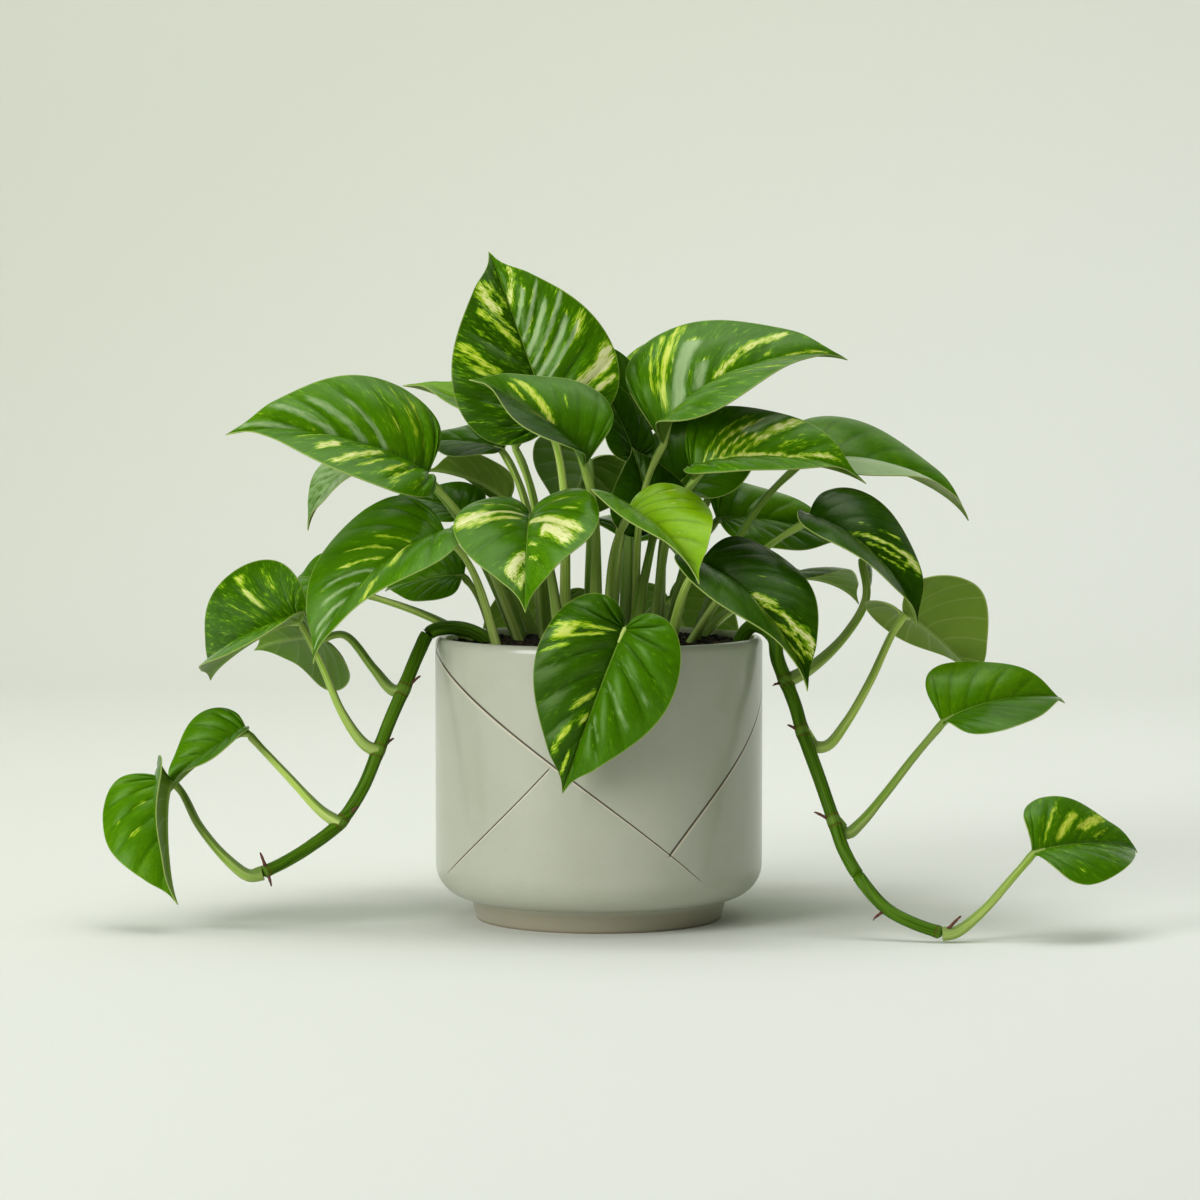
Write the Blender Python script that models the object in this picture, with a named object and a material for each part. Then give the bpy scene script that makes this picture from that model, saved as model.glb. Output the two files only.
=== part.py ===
"""A golden pothos in a glazed ceramic pot, in metres, +Z up, with the origin under the middle of the pot.

The viewer of the photograph looks along +Y. Each blade of the plant is a surface of two parameters: how far
along its margin (0 at the petiole, 1 at the tip) and how far across from the midrib (0) to the margin (1).
"""

import bmesh
import bpy
import numpy as np

# Pot, a turned shell on a narrower foot
POT_RADIUS = 0.0750
POT_HEIGHT = 0.1295
POT_WALL = 0.0050
FOOT_RADIUS = 0.0586
FOOT_BOTTOM_RADIUS = 0.0556
FOOT_HEIGHT = 0.0100
CORNER_RADIUS = 0.0158
FLOOR_TOP = 0.0180
INNER_CORNER_RADIUS = 0.0120
FOOT_ROUNDING = 0.0008
LIP_POINT = 1.4
POT_SIDES = 48

# Soil, which fills the pot with a small gap to it, and the holes in it where the plant stands
GAP = 0.0003
SOIL_TOP = 0.1255
SOIL_CROWN = 0.0015
HOLE_GAP = 0.0004
HOLE_SIDES = 6
HOLE_ABOVE = 0.006
VINE_HOLE_RINGS = 5
ROOTED_DEPTH = 0.0190

# Blades and petioles
BLADE_THICKNESS = 0.0008
SUNK_STATION = 0.09
MARGIN_STEPS = (0.0, 0.13, 0.27, 0.42, 0.56, 0.69, 0.81, 0.92, 1.0)
ACROSS_STEPS = (0.0, 0.55, 1.0)
LOBE_SHARE = 0.42
ROUND_LOBE = ((0.0, 0.0), (0.17, 0.0), (0.40, -0.03), (0.44, 0.22))
DEEP_LOBE = ((0.0, 0.0), (0.05, -0.19), (0.41, -0.21), (0.44, 0.22))
FLANK = ((0.44, 0.22), (0.455, 0.56), (0.11, 0.80), (0.0, 1.0))
WIDEST = 0.88
FIRST_VEIN = 0.30
VEIN_CROWDING = 1.9
VEIN_SWEEP = 1.35
CUP = 22.0
FUNNEL_REACH = 0.05
FUNNEL_FLARE = 0.5
TIP_CURL = 12.0
TIP_SHARE = 0.28
BEHIND_BASE = 0.35
MIDRIB_STEPS = 271
WAVE_HEIGHT = 0.0012
WAVES = 2.3
PETIOLE_ROOT_RADIUS = 0.0027
VINE_PETIOLE_RADIUS = 0.0024
PETIOLE_TOP_RADIUS = 0.0017
PETIOLE_END_RADIUS = 0.0007
PETIOLE_SIDES = 6
PETIOLE_RINGS = 6
PETIOLE_LEAN = 0.62
LOW_PULL = 0.40
HIGH_PULL = 0.33
OUTWARD_PULL = 0.35
TIPWARD_PULL = 0.25

# Trailing stems
STEM_RADIUS = 0.0037
STEM_END_RADIUS = 0.0030
STEM_SIDES = 8
STEM_RINGS = 26
ROOTLET_RADII = (0.0011, 0.0011, 0.0005)
ROOTLET_SIDES = 5

# Crown leaves, each on its own petiole. Columns: name after "leaf_", where it stands in the soil (x, y), base
# of the blade, tip of the blade, roll (how far the upper face is turned from the front towards the top, in
# degrees), fold of each half up from flat, width over length, bend along the midrib, depth of the lobes, and
# depth of the funnel at the petiole in hundredths of the length.
CROWN = (
    ("top_left", (-0.015, 0.009), (-0.022, 0.000, 0.227), (-0.051, 0.025, 0.306), 8, 6, 0.88, 14, 0.5, 4),
    ("top_front", (-0.001, -0.016), (-0.003, -0.037, 0.217), (-0.059, -0.014, 0.247), 56, 18, 0.80, 8, 0.1, 18),
    ("top_right", (0.015, 0.002), (0.021, -0.005, 0.232), (0.115, 0.022, 0.256), 62, 13, 0.80, 40, 0.0, 20),
    ("top_rear", (0.012, 0.026), (0.021, 0.058, 0.237), (0.069, 0.094, 0.265), 51, 8, 0.76, 30, 0.2, 4),
    ("top_middle", (0.005, 0.012), (0.017, 0.033, 0.222), (-0.007, 0.048, 0.268), 38, 6, 0.66, 16, 0.2, 4),
    ("middle_dark", (0.004, 0.001), (0.017, 0.023, 0.211), (-0.004, 0.027, 0.250), 46, 6, 0.66, 20, 0.2, 4),
    ("middle_low", (0.016, -0.012), (0.026, 0.012, 0.178), (0.015, 0.018, 0.216), 14, 4, 0.96, 14, 0.3, 4),
    ("left_upper", (-0.036, 0.000), (-0.077, -0.006, 0.205), (-0.169, -0.018, 0.222), 50, 14, 0.79, 46, 0.0, 4),
    ("left_drooping", (-0.037, 0.009), (-0.095, 0.026, 0.214), (-0.135, 0.022, 0.177), 68, 9, 0.80, 60, 0.2, 4),
    ("left_inner", (-0.024, 0.004), (-0.035, 0.019, 0.219), (-0.091, 0.026, 0.244), 70, 12, 0.72, 22, 0.0, 10),
    ("left_dark", (-0.025, 0.017), (-0.045, 0.033, 0.215), (-0.086, 0.057, 0.214), 65, 6, 0.74, 30, 0.2, 4),
    ("left_rear", (-0.022, 0.030), (-0.042, 0.048, 0.190), (-0.083, 0.076, 0.203), 122, 14, 0.80, 30, 0.3, 4),
    ("left_rear_low", (-0.036, 0.024), (-0.061, 0.043, 0.184), (-0.098, 0.073, 0.190), 60, 4, 0.78, 20, 0.2, 4),
    ("left_lower", (-0.046, -0.021), (-0.069, -0.026, 0.180), (-0.128, -0.044, 0.120), 56, 12, 0.84, 56, 0.0, 6),
    ("left_low", (-0.048, 0.014), (-0.063, 0.014, 0.157), (-0.100, 0.036, 0.148), 50, 2, 0.74, 20, 0.2, 4),
    ("left_far", (-0.058, 0.010), (-0.112, 0.026, 0.149), (-0.143, 0.064, 0.153), 30, 2, 0.84, 20, 0.2, 4),
    ("front_left", (-0.017, -0.026), (-0.031, -0.036, 0.188), (-0.032, -0.092, 0.146), 8, 8, 0.94, 24, 1.0, 4),
    ("front_right", (0.003, -0.031), (0.014, -0.033, 0.189), (0.044, -0.084, 0.158), 50, 21, 0.82, 30, 0.8, 4),
    ("front_low", (0.011, -0.044), (0.011, -0.086, 0.139), (-0.016, -0.086, 0.066), 12, 4, 0.82, 16, 1.0, 4),
    ("right_upper", (0.024, -0.010), (0.041, -0.020, 0.208), (0.121, -0.020, 0.200), 61, 19, 0.80, 40, 0.1, 10),
    ("right_inner", (0.027, 0.017), (0.035, 0.031, 0.197), (0.086, 0.056, 0.230), 48, 8, 0.92, 24, 0.2, 4),
    ("right_far", (0.044, 0.015), (0.093, 0.030, 0.210), (0.175, 0.060, 0.180), 74, 12, 0.74, 48, 0.0, 4),
    ("right_middle", (0.041, -0.009), (0.095, -0.015, 0.186), (0.144, -0.022, 0.135), 62, 12, 0.88, 58, 0.1, 6),
    ("right_lower", (0.032, -0.034), (0.045, -0.045, 0.166), (0.092, -0.073, 0.110), 54, 12, 0.84, 54, 0.1, 4),
    ("right_rear", (0.032, 0.008), (0.056, 0.041, 0.183), (0.117, 0.080, 0.166), 58, 4, 0.66, 30, 0.2, 4),
    ("right_turned", (0.033, 0.027), (0.051, 0.062, 0.198), (0.068, 0.114, 0.212), 120, 2, 0.76, 26, 0.3, 7),
    ("back_low_left", (-0.014, 0.042), (-0.022, 0.086, 0.140), (-0.040, 0.098, 0.072), 165, 8, 0.80, 30, 0.8, 4),
    ("back_low_right", (0.018, 0.044), (0.034, 0.086, 0.143), (0.054, 0.100, 0.080), 160, 8, 0.80, 30, 0.8, 4),
    ("back_left", (-0.030, 0.038), (-0.062, 0.068, 0.178), (-0.100, 0.116, 0.172), 105, 8, 0.80, 46, 0.3, 4),
    ("back_top", (-0.004, 0.026), (-0.004, 0.060, 0.210), (-0.018, 0.102, 0.172), 180, 8, 0.94, 30, 0.3, 4),
    ("back_middle", (0.003, 0.038), (0.016, 0.072, 0.170), (0.040, 0.138, 0.156), 110, 8, 0.80, 50, 0.3, 4),
    ("back_right", (0.047, 0.034), (0.081, 0.071, 0.149), (0.127, 0.117, 0.137), 100, 8, 0.80, 46, 0.3, 4),
)

# Trailing stems. Each has the points of its stem, its rootlets (from, to) and its leaves: the points of the
# petiole, the last being the base of the blade, then tip, roll and the rest as above.
VINE_LEFT = {
    "stem": (
        (-0.041, -0.010, 0.1085), (-0.045, -0.010, 0.120), (-0.052, -0.009, 0.129), (-0.061, -0.007, 0.1331),
        (-0.071, -0.006, 0.1336), (-0.0775, -0.006, 0.1313), (-0.082, -0.009, 0.123), (-0.089, -0.014, 0.106),
        (-0.095, -0.018, 0.092), (-0.100, -0.022, 0.079), (-0.107, -0.026, 0.062), (-0.117, -0.030, 0.047),
        (-0.130, -0.036, 0.037), (-0.142, -0.040, 0.030), (-0.151, -0.044, 0.026),
    ),
    "rootlets": (
        ((-0.089, -0.014, 0.106), (-0.081, -0.015, 0.112)),
        ((-0.100, -0.022, 0.079), (-0.093, -0.020, 0.084)),
        ((-0.117, -0.030, 0.047), (-0.109, -0.031, 0.054)),
        ((-0.149, -0.044, 0.027), (-0.152, -0.046, 0.035)),
        ((-0.149, -0.044, 0.027), (-0.147, -0.046, 0.020)),
    ),
    "leaves": (
        (
            ((-0.089, -0.014, 0.106), (-0.094, -0.012, 0.106), (-0.103, -0.005, 0.115),
             (-0.117, 0.002, 0.130), (-0.127, 0.006, 0.129)),
            (-0.163, 0.054, 0.119), 155, -10, 0.96, 20, 0.4, 4,
        ),
        (
            ((-0.100, -0.022, 0.079), (-0.106, -0.022, 0.082), (-0.116, -0.022, 0.096),
             (-0.126, -0.024, 0.120), (-0.137, -0.026, 0.139)),
            (-0.181, 0.026, 0.107), 54, 42, 0.88, 20, 1.3, 4,
        ),
        (
            ((-0.117, -0.030, 0.047), (-0.125, -0.029, 0.052), (-0.142, -0.025, 0.069),
             (-0.160, -0.020, 0.088)),
            (-0.196, -0.026, 0.058), 58, 26, 0.82, 26, 0.1, 4,
        ),
        (
            ((-0.151, -0.044, 0.026), (-0.157, -0.044, 0.025), (-0.167, -0.042, 0.032),
             (-0.180, -0.035, 0.046), (-0.189, -0.024, 0.060), (-0.195, -0.026, 0.066)),
            (-0.188, -0.056, 0.013), -46, 40, 1.0, 20, 0.3, 4,
        ),
    ),
}
VINE_RIGHT = {
    "stem": (
        (0.062, 0.004, 0.1085), (0.0635, 0.003, 0.120), (0.066, 0.001, 0.1295), (0.0705, -0.003, 0.1345),
        (0.0765, -0.009, 0.1330), (0.0800, -0.013, 0.1285), (0.0810, -0.015, 0.121), (0.085, -0.017, 0.110),
        (0.089, -0.024, 0.099), (0.092, -0.030, 0.088), (0.099, -0.042, 0.068), (0.105, -0.052, 0.050),
        (0.109, -0.058, 0.038), (0.116, -0.066, 0.026), (0.127, -0.074, 0.014), (0.139, -0.079, 0.008),
        (0.151, -0.082, 0.0042),
    ),
    "rootlets": (
        ((0.085, -0.017, 0.110), (0.079, -0.020, 0.108)),
        ((0.092, -0.030, 0.088), (0.085, -0.031, 0.091)),
        ((0.105, -0.052, 0.050), (0.096, -0.053, 0.054)),
        ((0.127, -0.074, 0.014), (0.121, -0.077, 0.009)),
        ((0.152, -0.082, 0.0045), (0.159, -0.086, 0.012)),
    ),
    "leaves": (
        (
            ((0.085, -0.017, 0.110), (0.097, -0.010, 0.116), (0.114, 0.008, 0.130), (0.124, 0.022, 0.146),
             (0.125, 0.034, 0.162)),
            (0.118, 0.084, 0.184), 110, 4, 0.80, 20, 0.3, 4,
        ),
        (
            ((0.092, -0.030, 0.088), (0.097, -0.030, 0.082), (0.103, -0.029, 0.082), (0.112, -0.024, 0.092),
             (0.123, -0.018, 0.110), (0.134, -0.011, 0.132), (0.139, -0.008, 0.141)),
            (0.179, 0.020, 0.104), 140, 24, 1.0, 20, 0.8, 4,
        ),
        (
            ((0.105, -0.052, 0.050), (0.111, -0.051, 0.045), (0.117, -0.048, 0.049), (0.127, -0.044, 0.060),
             (0.143, -0.036, 0.079), (0.155, -0.030, 0.094)),
            (0.215, 0.008, 0.098), 56, 12, 0.74, 40, 0.0, 4,
        ),
        (
            ((0.151, -0.082, 0.0042), (0.157, -0.082, 0.005), (0.169, -0.080, 0.014), (0.182, -0.077, 0.028),
             (0.192, -0.076, 0.040)),
            (0.243, -0.036, 0.034), 50, 8, 0.76, 34, 0.0, 4,
        ),
    ),
}


def unit(vector):
    """The vector at length one."""
    return np.asarray(vector, float) / np.linalg.norm(vector)


def bezier(points, share):
    """A cubic Bezier curve's points at these shares of its parameter."""
    q = np.asarray(share, float)[..., None]
    a, b, c, d = np.asarray(points, float)
    return (1 - q) ** 3 * a + 3 * (1 - q) ** 2 * q * b + 3 * (1 - q) * q**2 * c + q**3 * d


def smooth_path(points, count):
    """Points along a centripetal Catmull-Rom curve through the given ones, even in its parameter."""
    given = np.asarray(points, float)
    given = np.vstack([2 * given[0] - given[1], given, 2 * given[-1] - given[-2]])
    knots = np.concatenate([[0], np.cumsum(np.linalg.norm(np.diff(given, axis=0), axis=1) ** 0.5)])
    at = np.linspace(knots[1], knots[-2], count)
    first = np.clip(np.searchsorted(knots, at, side="right") - 1, 1, len(given) - 3)
    t = [knots[first + k][:, None] for k in (-1, 0, 1, 2)]
    p = [given[first + k] for k in (-1, 0, 1, 2)]
    at = at[:, None]

    def between(low, high, start, end):
        return ((end - at) * low + (at - start) * high) / (end - start)

    near = [between(p[k], p[k + 1], t[k], t[k + 1]) for k in range(3)]
    far = [between(near[k], near[k + 1], t[k], t[k + 2]) for k in range(2)]
    return between(far[0], far[1], t[1], t[2])


def margin(along, lobes):
    """Half the outline of a blade of length one, across and up from its base, for 0 there to 1 at the tip."""
    lobe = (1 - lobes) * np.array(ROUND_LOBE) + lobes * np.array(DEEP_LOBE)
    low = bezier(lobe, np.clip(along / LOBE_SHARE, 0, 1))
    high = bezier(FLANK, np.clip((along - LOBE_SHARE) / (1 - LOBE_SHARE), 0, 1))
    return np.where((along < LOBE_SHARE)[..., None], low, high)


def midrib(up, bend):
    """The midrib in its own plane, its chord one long, and its direction, for places from behind the base to
    the tip. Its slope falls evenly by the bend and dips at the tip."""
    u = np.linspace(-BEHIND_BASE, 1, MIDRIB_STEPS)
    slope = -np.radians(bend) * u - np.radians(TIP_CURL) * np.clip(1 - (1 - u) / TIP_SHARE, 0, 1) ** 2
    middle = (slope[1:] + slope[:-1]) / 2
    step = u[1] - u[0]
    line = np.concatenate([[0], np.cumsum(np.exp(1j * middle))]) * step
    line -= np.interp(0, u, line)
    line /= line[-1]
    heading = np.gradient(line, u)
    heading /= abs(heading)
    return np.interp(up, u, line), np.interp(up, u, heading)


def blade_surface(w, t, side, base, tip, roll, fold, width, bend, lobes, funnel):
    """The blade's middle surface at w along the margin and t across, on its left (-1) or right (1) half.

    Veins leave the midrib at a station that rises with w and run forwards to the margin. The midrib arches
    in the plane of its chord and the face, and each half stands up from it by the fold, flattening outwards.
    Round the base the blade dips like a funnel to its petiole, deeper ones being wider too."""
    base = np.asarray(base, float)
    chord = np.asarray(tip, float) - base
    length = np.linalg.norm(chord)
    chord = chord / length
    front = np.array((0.0, -1.0, 0.0))
    front = unit(front - front.dot(chord) * chord)
    top = np.cross(front, chord)
    top = -top if top[2] < 0 else top
    face = np.cos(np.radians(roll)) * front + np.sin(np.radians(roll)) * top
    right = np.cross(chord, face)

    edge = margin(w, lobes)
    half_width = edge[..., 0] * width / WIDEST
    station = np.clip((w - FIRST_VEIN) / (1 - FIRST_VEIN), 0, 1) ** VEIN_CROWDING
    across = half_width * t
    up = station + (edge[..., 1] - station) * t**VEIN_SWEEP
    line, heading = midrib(up, bend)
    normal = -heading.imag[..., None] * chord + heading.real[..., None] * face

    widest = FLANK[0][0] * width / WIDEST
    stand = np.radians(fold) + np.radians(CUP) * (1 - np.clip(across / widest, 0, 1))
    fade = t**2 * np.clip(4 * w, 0, 1) * np.clip(4 * (1 - w), 0, 1)
    phase = 0.37 * side + 70 * base[0]
    wave = WAVE_HEIGHT * fade * np.sin(2 * np.pi * (WAVES * w + phase))
    along_chord = (line.real * length)[..., None] * chord + (line.imag * length)[..., None] * face
    out = side * (across * length * np.cos(stand))[..., None] * right
    depth = funnel / 100
    dip = depth * length * np.exp(-np.hypot(across, up) / (FUNNEL_REACH + FUNNEL_FLARE * depth))
    lift = (across * length * np.sin(stand) + wave - dip)[..., None] * normal
    return base + along_chord + out + lift


def blade_slab(*leaf):
    """A blade as a closed slab: both halves' grids welded, moved out to each face by half the thickness along
    the surface's own normals, split into the same triangles on both, and walled along the margin."""
    w, t = np.meshgrid(MARGIN_STEPS, ACROSS_STEPS, indexing="ij")
    halves = [blade_surface(w, t, side, *leaf).reshape(-1, 3) for side in (-1, 1)]
    number = np.arange(w.size).reshape(w.shape)
    a, b, c, d = (number[:-1, :-1], number[1:, :-1], number[1:, 1:], number[:-1, 1:])
    corners = np.concatenate([np.stack(tri, -1).reshape(-1, 3) for tri in ((a, b, c), (a, c, d))])
    faces = np.concatenate([corners[:, ::-1], corners + w.size])
    points, index = np.unique(np.round(np.concatenate(halves), 7), axis=0, return_inverse=True)
    faces = index.reshape(-1)[faces]
    kept = (faces[:, 0] != faces[:, 1]) & (faces[:, 1] != faces[:, 2]) & (faces[:, 0] != faces[:, 2])
    faces = faces[kept]

    turned = np.cross(points[faces[:, 1]] - points[faces[:, 0]], points[faces[:, 2]] - points[faces[:, 0]])
    turned /= np.linalg.norm(turned, axis=1)[:, None]
    normals = np.zeros_like(points)
    for corner in range(3):
        np.add.at(normals, faces[:, corner], turned)
    normals *= BLADE_THICKNESS / 2 / np.linalg.norm(normals, axis=1)[:, None]

    ends = np.concatenate([faces[:, [0, 1]], faces[:, [1, 2]], faces[:, [2, 0]]])
    back = {(j, i) for i, j in ends.tolist()}
    rim = np.array([edge for edge in ends.tolist() if tuple(edge) not in back])
    low = len(points)
    walls = np.concatenate([
        np.stack([rim[:, 1], rim[:, 0], rim[:, 0] + low], -1),
        np.stack([rim[:, 1], rim[:, 0] + low, rim[:, 1] + low], -1),
    ])
    both = np.concatenate([points + normals, points - normals])
    return both, np.concatenate([faces, faces[:, ::-1] + low, walls])


def tube(path, radii, sides):
    """A closed tube of rings square to the path, each turned as little as can be from the one before."""
    path = np.asarray(path, float)
    tangents = np.gradient(path, axis=0)
    tangents /= np.linalg.norm(tangents, axis=1)[:, None]
    across = unit(np.cross(tangents[0], (0.31, 0.83, 0.22)))
    turns = 2 * np.pi * np.arange(sides) / sides
    rings = []
    for centre, tangent, radius in zip(path, tangents, radii):
        across = unit(across - across.dot(tangent) * tangent)
        other = np.cross(tangent, across)
        rings.append(centre + radius * (np.cos(turns)[:, None] * across + np.sin(turns)[:, None] * other))
    points = np.concatenate(rings + [path[:1], path[-1:]])
    count = len(path)
    here = np.arange(count - 1)[:, None] * sides + np.arange(sides)
    beside = np.arange(count - 1)[:, None] * sides + (np.arange(sides) + 1) % sides
    quads = [(here, beside, beside + sides), (here, beside + sides, here + sides)]
    faces = [np.stack(tri, -1).reshape(-1, 3) for tri in quads]
    spokes = np.arange(sides)
    after = (spokes + 1) % sides
    first, last = count * sides, count * sides + 1
    faces.append(np.stack([after, spokes, spokes * 0 + first], -1))
    faces.append(np.stack([spokes + first - sides, after + first - sides, spokes * 0 + last], -1))
    return points, np.concatenate(faces)


def blade_foot(leaf):
    """Where the petiole meets the blade."""
    return blade_surface(np.zeros(1), np.zeros(1), 1, *leaf)[0]


def crown_petiole(root, leaf):
    """Where a crown leaf's petiole runs: straight out of its hole in the soil, then over in one arch to the
    blade. Also its direction in the hole."""
    foot = np.array((root[0], root[1], SOIL_TOP + SOIL_CROWN))
    base = blade_foot(leaf)
    reach = base - foot
    length = np.linalg.norm(reach)
    rise = unit(reach * (PETIOLE_LEAN, PETIOLE_LEAN, 1))
    outward = unit(reach * (1, 1, 0))
    arrive = unit(reach / length + OUTWARD_PULL * outward + TIPWARD_PULL * unit(leaf[1] - base))
    bend = (foot, foot + LOW_PULL * length * rise, base - HIGH_PULL * length * arrive, base)
    arch = bezier(bend, np.linspace(0, 1, PETIOLE_RINGS))
    return np.vstack([foot - ROOTED_DEPTH * rise, arch]), rise


def petiole_tube(path, leaf, root_radius):
    """The petiole with its tapered end sunk along the midrib inside the blade."""
    w = FIRST_VEIN + (1 - FIRST_VEIN) * SUNK_STATION ** (1 / VEIN_CROWDING)
    sunk = blade_surface(np.array([w]), np.zeros(1), 1, *leaf)
    radii = np.linspace(root_radius, PETIOLE_TOP_RADIUS, len(path) + 1)
    radii[-1] = PETIOLE_END_RADIUS
    return tube(np.vstack([path, sunk]), radii, PETIOLE_SIDES)


def arc(centre_radius, centre_height, wide, start, end, count, high=None):
    """Points of a turned profile along an arc between two angles in degrees from straight outwards. It is
    round unless its height differs from its width."""
    high = wide if high is None else high
    angles = np.radians(np.linspace(start, end, count))
    return [(centre_radius + wide * np.cos(a), centre_height + high * np.sin(a)) for a in angles]


def pot_profile():
    """The pot's wall as radius and height, from the middle of its foot round its lip to the middle of its
    floor."""
    half_wall = POT_WALL / 2
    lip_height = LIP_POINT * half_wall
    inner = POT_RADIUS - POT_WALL - INNER_CORNER_RADIUS
    return (
        [(0, 0)]
        + arc(FOOT_BOTTOM_RADIUS, FOOT_ROUNDING, FOOT_ROUNDING, -90, -10, 2)
        + [(FOOT_RADIUS, FOOT_HEIGHT)]
        + arc(POT_RADIUS - CORNER_RADIUS, FOOT_HEIGHT + CORNER_RADIUS, CORNER_RADIUS, -76, 0, 5)
        + arc(POT_RADIUS - half_wall, POT_HEIGHT - lip_height, half_wall, 0, 180, 5, lip_height)
        + arc(inner, FLOOR_TOP + INNER_CORNER_RADIUS, INNER_CORNER_RADIUS, 0, -90, 4)
        + [(0, FLOOR_TOP)]
    )


def soil_profile():
    """The soil's outline as radius and height, a small gap inside the pot, with a slightly crowned top."""
    inner = POT_RADIUS - POT_WALL - INNER_CORNER_RADIUS
    corner = INNER_CORNER_RADIUS - GAP
    side = inner + corner
    floor = [(0, FLOOR_TOP + GAP)] + arc(inner, FLOOR_TOP + INNER_CORNER_RADIUS, corner, -90, 0, 4)
    return floor + [(side * share, SOIL_TOP + SOIL_CROWN * (1 - share**2)) for share in (1, 0.5, 0)]


# Objects


def new_material(name, colour, roughness):
    """A plain Principled material."""
    made = bpy.data.materials.new(name)
    made.use_nodes = True
    shader = made.node_tree.nodes["Principled BSDF"]
    shader.inputs["Base Color"].default_value = (*colour, 1)
    shader.inputs["Roughness"].default_value = roughness
    return made


def link(name, mesh, surface):
    """An object of this mesh and material in the scene, shaded smooth but for its sharp edges."""
    mesh.materials.clear()
    mesh.materials.append(surface)
    mesh.shade_smooth()
    mesh.set_sharp_from_angle(angle=np.radians(40))
    made = bpy.data.objects.new(name, mesh)
    bpy.context.scene.collection.objects.link(made)
    return made


def solid(name, shape, surface):
    """An object from points and triangles."""
    mesh = bpy.data.meshes.new(name)
    mesh.from_pydata(shape[0].tolist(), [], shape[1].tolist())
    return link(name, mesh, surface)


def turned(name, profile, surface):
    """A solid turned round the vertical axis, from a profile of radius and height that ends there."""
    shape = bmesh.new()
    ring = [shape.verts.new((radius, 0, height)) for radius, height in profile]
    edges = [shape.edges.new(pair) for pair in zip(ring, ring[1:])]
    bmesh.ops.spin(shape, geom=ring + edges, cent=(0, 0, 0), axis=(0, 0, 1), angle=2 * np.pi, steps=POT_SIDES)
    bmesh.ops.remove_doubles(shape, verts=shape.verts, dist=1e-6)
    bmesh.ops.recalc_face_normals(shape, faces=shape.faces)
    mesh = bpy.data.meshes.new(name)
    shape.to_mesh(mesh)
    shape.free()
    return link(name, mesh, surface)


def combined(base, others, operation, solver="EXACT"):
    """The base with one Boolean of a collection of the others applied to it, which are then removed."""
    group = bpy.data.collections.new(base.name + "_pieces")
    for other in others:
        group.objects.link(other)
    boolean = base.modifiers.new("combine", "BOOLEAN")
    boolean.operation = operation
    boolean.solver = solver
    boolean.operand_type = "COLLECTION"
    boolean.collection = group
    bpy.context.view_layer.update()
    mesh = bpy.data.meshes.new_from_object(base.evaluated_get(bpy.context.evaluated_depsgraph_get()))
    base.modifiers.clear()
    base.data = mesh
    for other in others:
        bpy.data.objects.remove(other)
    bpy.data.collections.remove(group)
    mesh.set_sharp_from_angle(angle=np.radians(40))
    return base


def crown_leaf(name, root, leaf, surface):
    """A leaf with its petiole, as one solid."""
    path, _ = crown_petiole(root, leaf)
    blade = solid(name, blade_slab(*leaf), surface)
    petiole = solid(name + "_petiole", petiole_tube(path, leaf, PETIOLE_ROOT_RADIUS), surface)
    return combined(blade, [petiole], "UNION")


def vine(name, plan, surface):
    """A trailing stem with its rootlets, petioles and blades, as one solid."""
    route = smooth_path(plan["stem"], STEM_RINGS)
    radii = np.linspace(STEM_RADIUS, STEM_END_RADIUS, STEM_RINGS)
    stem = solid(name, tube(route, radii, STEM_SIDES), surface)
    pieces = []
    for start, end in plan["rootlets"]:
        shape = tube(np.linspace(start, end, 3), ROOTLET_RADII, ROOTLET_SIDES)
        pieces.append(solid("rootlet", shape, surface))
    for points, *rest in plan["leaves"]:
        leaf = (points[-1], *rest)
        path = smooth_path((*points[:-1], blade_foot(leaf)), 2 * len(points) - 1)
        pieces.append(solid("petiole", petiole_tube(path, leaf, VINE_PETIOLE_RADIUS), surface))
        pieces.append(solid("blade", blade_slab(*leaf), surface))
    return combined(stem, pieces, "UNION", "MANIFOLD")


def hole(path, radius, surface):
    """A cutter round the buried end of a stem, a little wider and deeper than it."""
    start, second = np.asarray(path[0]), np.asarray(path[1])
    path = np.vstack([start - HOLE_GAP * unit(second - start), path[1:]])
    wide = (radius + HOLE_GAP) / np.cos(np.pi / HOLE_SIDES)
    return solid("hole", tube(path, np.full(len(path), wide), HOLE_SIDES), surface)


def main():
    for old in list(bpy.data.objects):
        bpy.data.objects.remove(old)
    glaze = new_material("glazed_pot", (0.30, 0.31, 0.24), 0.22)
    earth = new_material("potting_soil", (0.012, 0.011, 0.006), 0.95)
    leaf_green = new_material("leaf_green", (0.075, 0.20, 0.03), 0.38)
    vine_green = new_material("vine_green", (0.085, 0.21, 0.035), 0.40)

    turned("pot", pot_profile(), glaze)
    soil = turned("soil", soil_profile(), earth)
    holes = []
    for name, root, *leaf in CROWN:
        crown_leaf("leaf_" + name, root, leaf, leaf_green)
        path, rise = crown_petiole(root, leaf)
        holes.append(hole((path[0], path[1] + HOLE_ABOVE * rise), PETIOLE_ROOT_RADIUS, earth))
    for name, plan in (("vine_left", VINE_LEFT), ("vine_right", VINE_RIGHT)):
        vine(name, plan, vine_green)
        holes.append(hole(smooth_path(plan["stem"], STEM_RINGS)[:VINE_HOLE_RINGS], STEM_RADIUS, earth))
    combined(soil, holes, "DIFFERENCE")


main()
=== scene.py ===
"""A golden pothos in a sage glazed pot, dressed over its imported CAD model. Metres, +Z up, the viewer of the
photograph looks along +Y. The sections follow the object as it is put together."""

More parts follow.
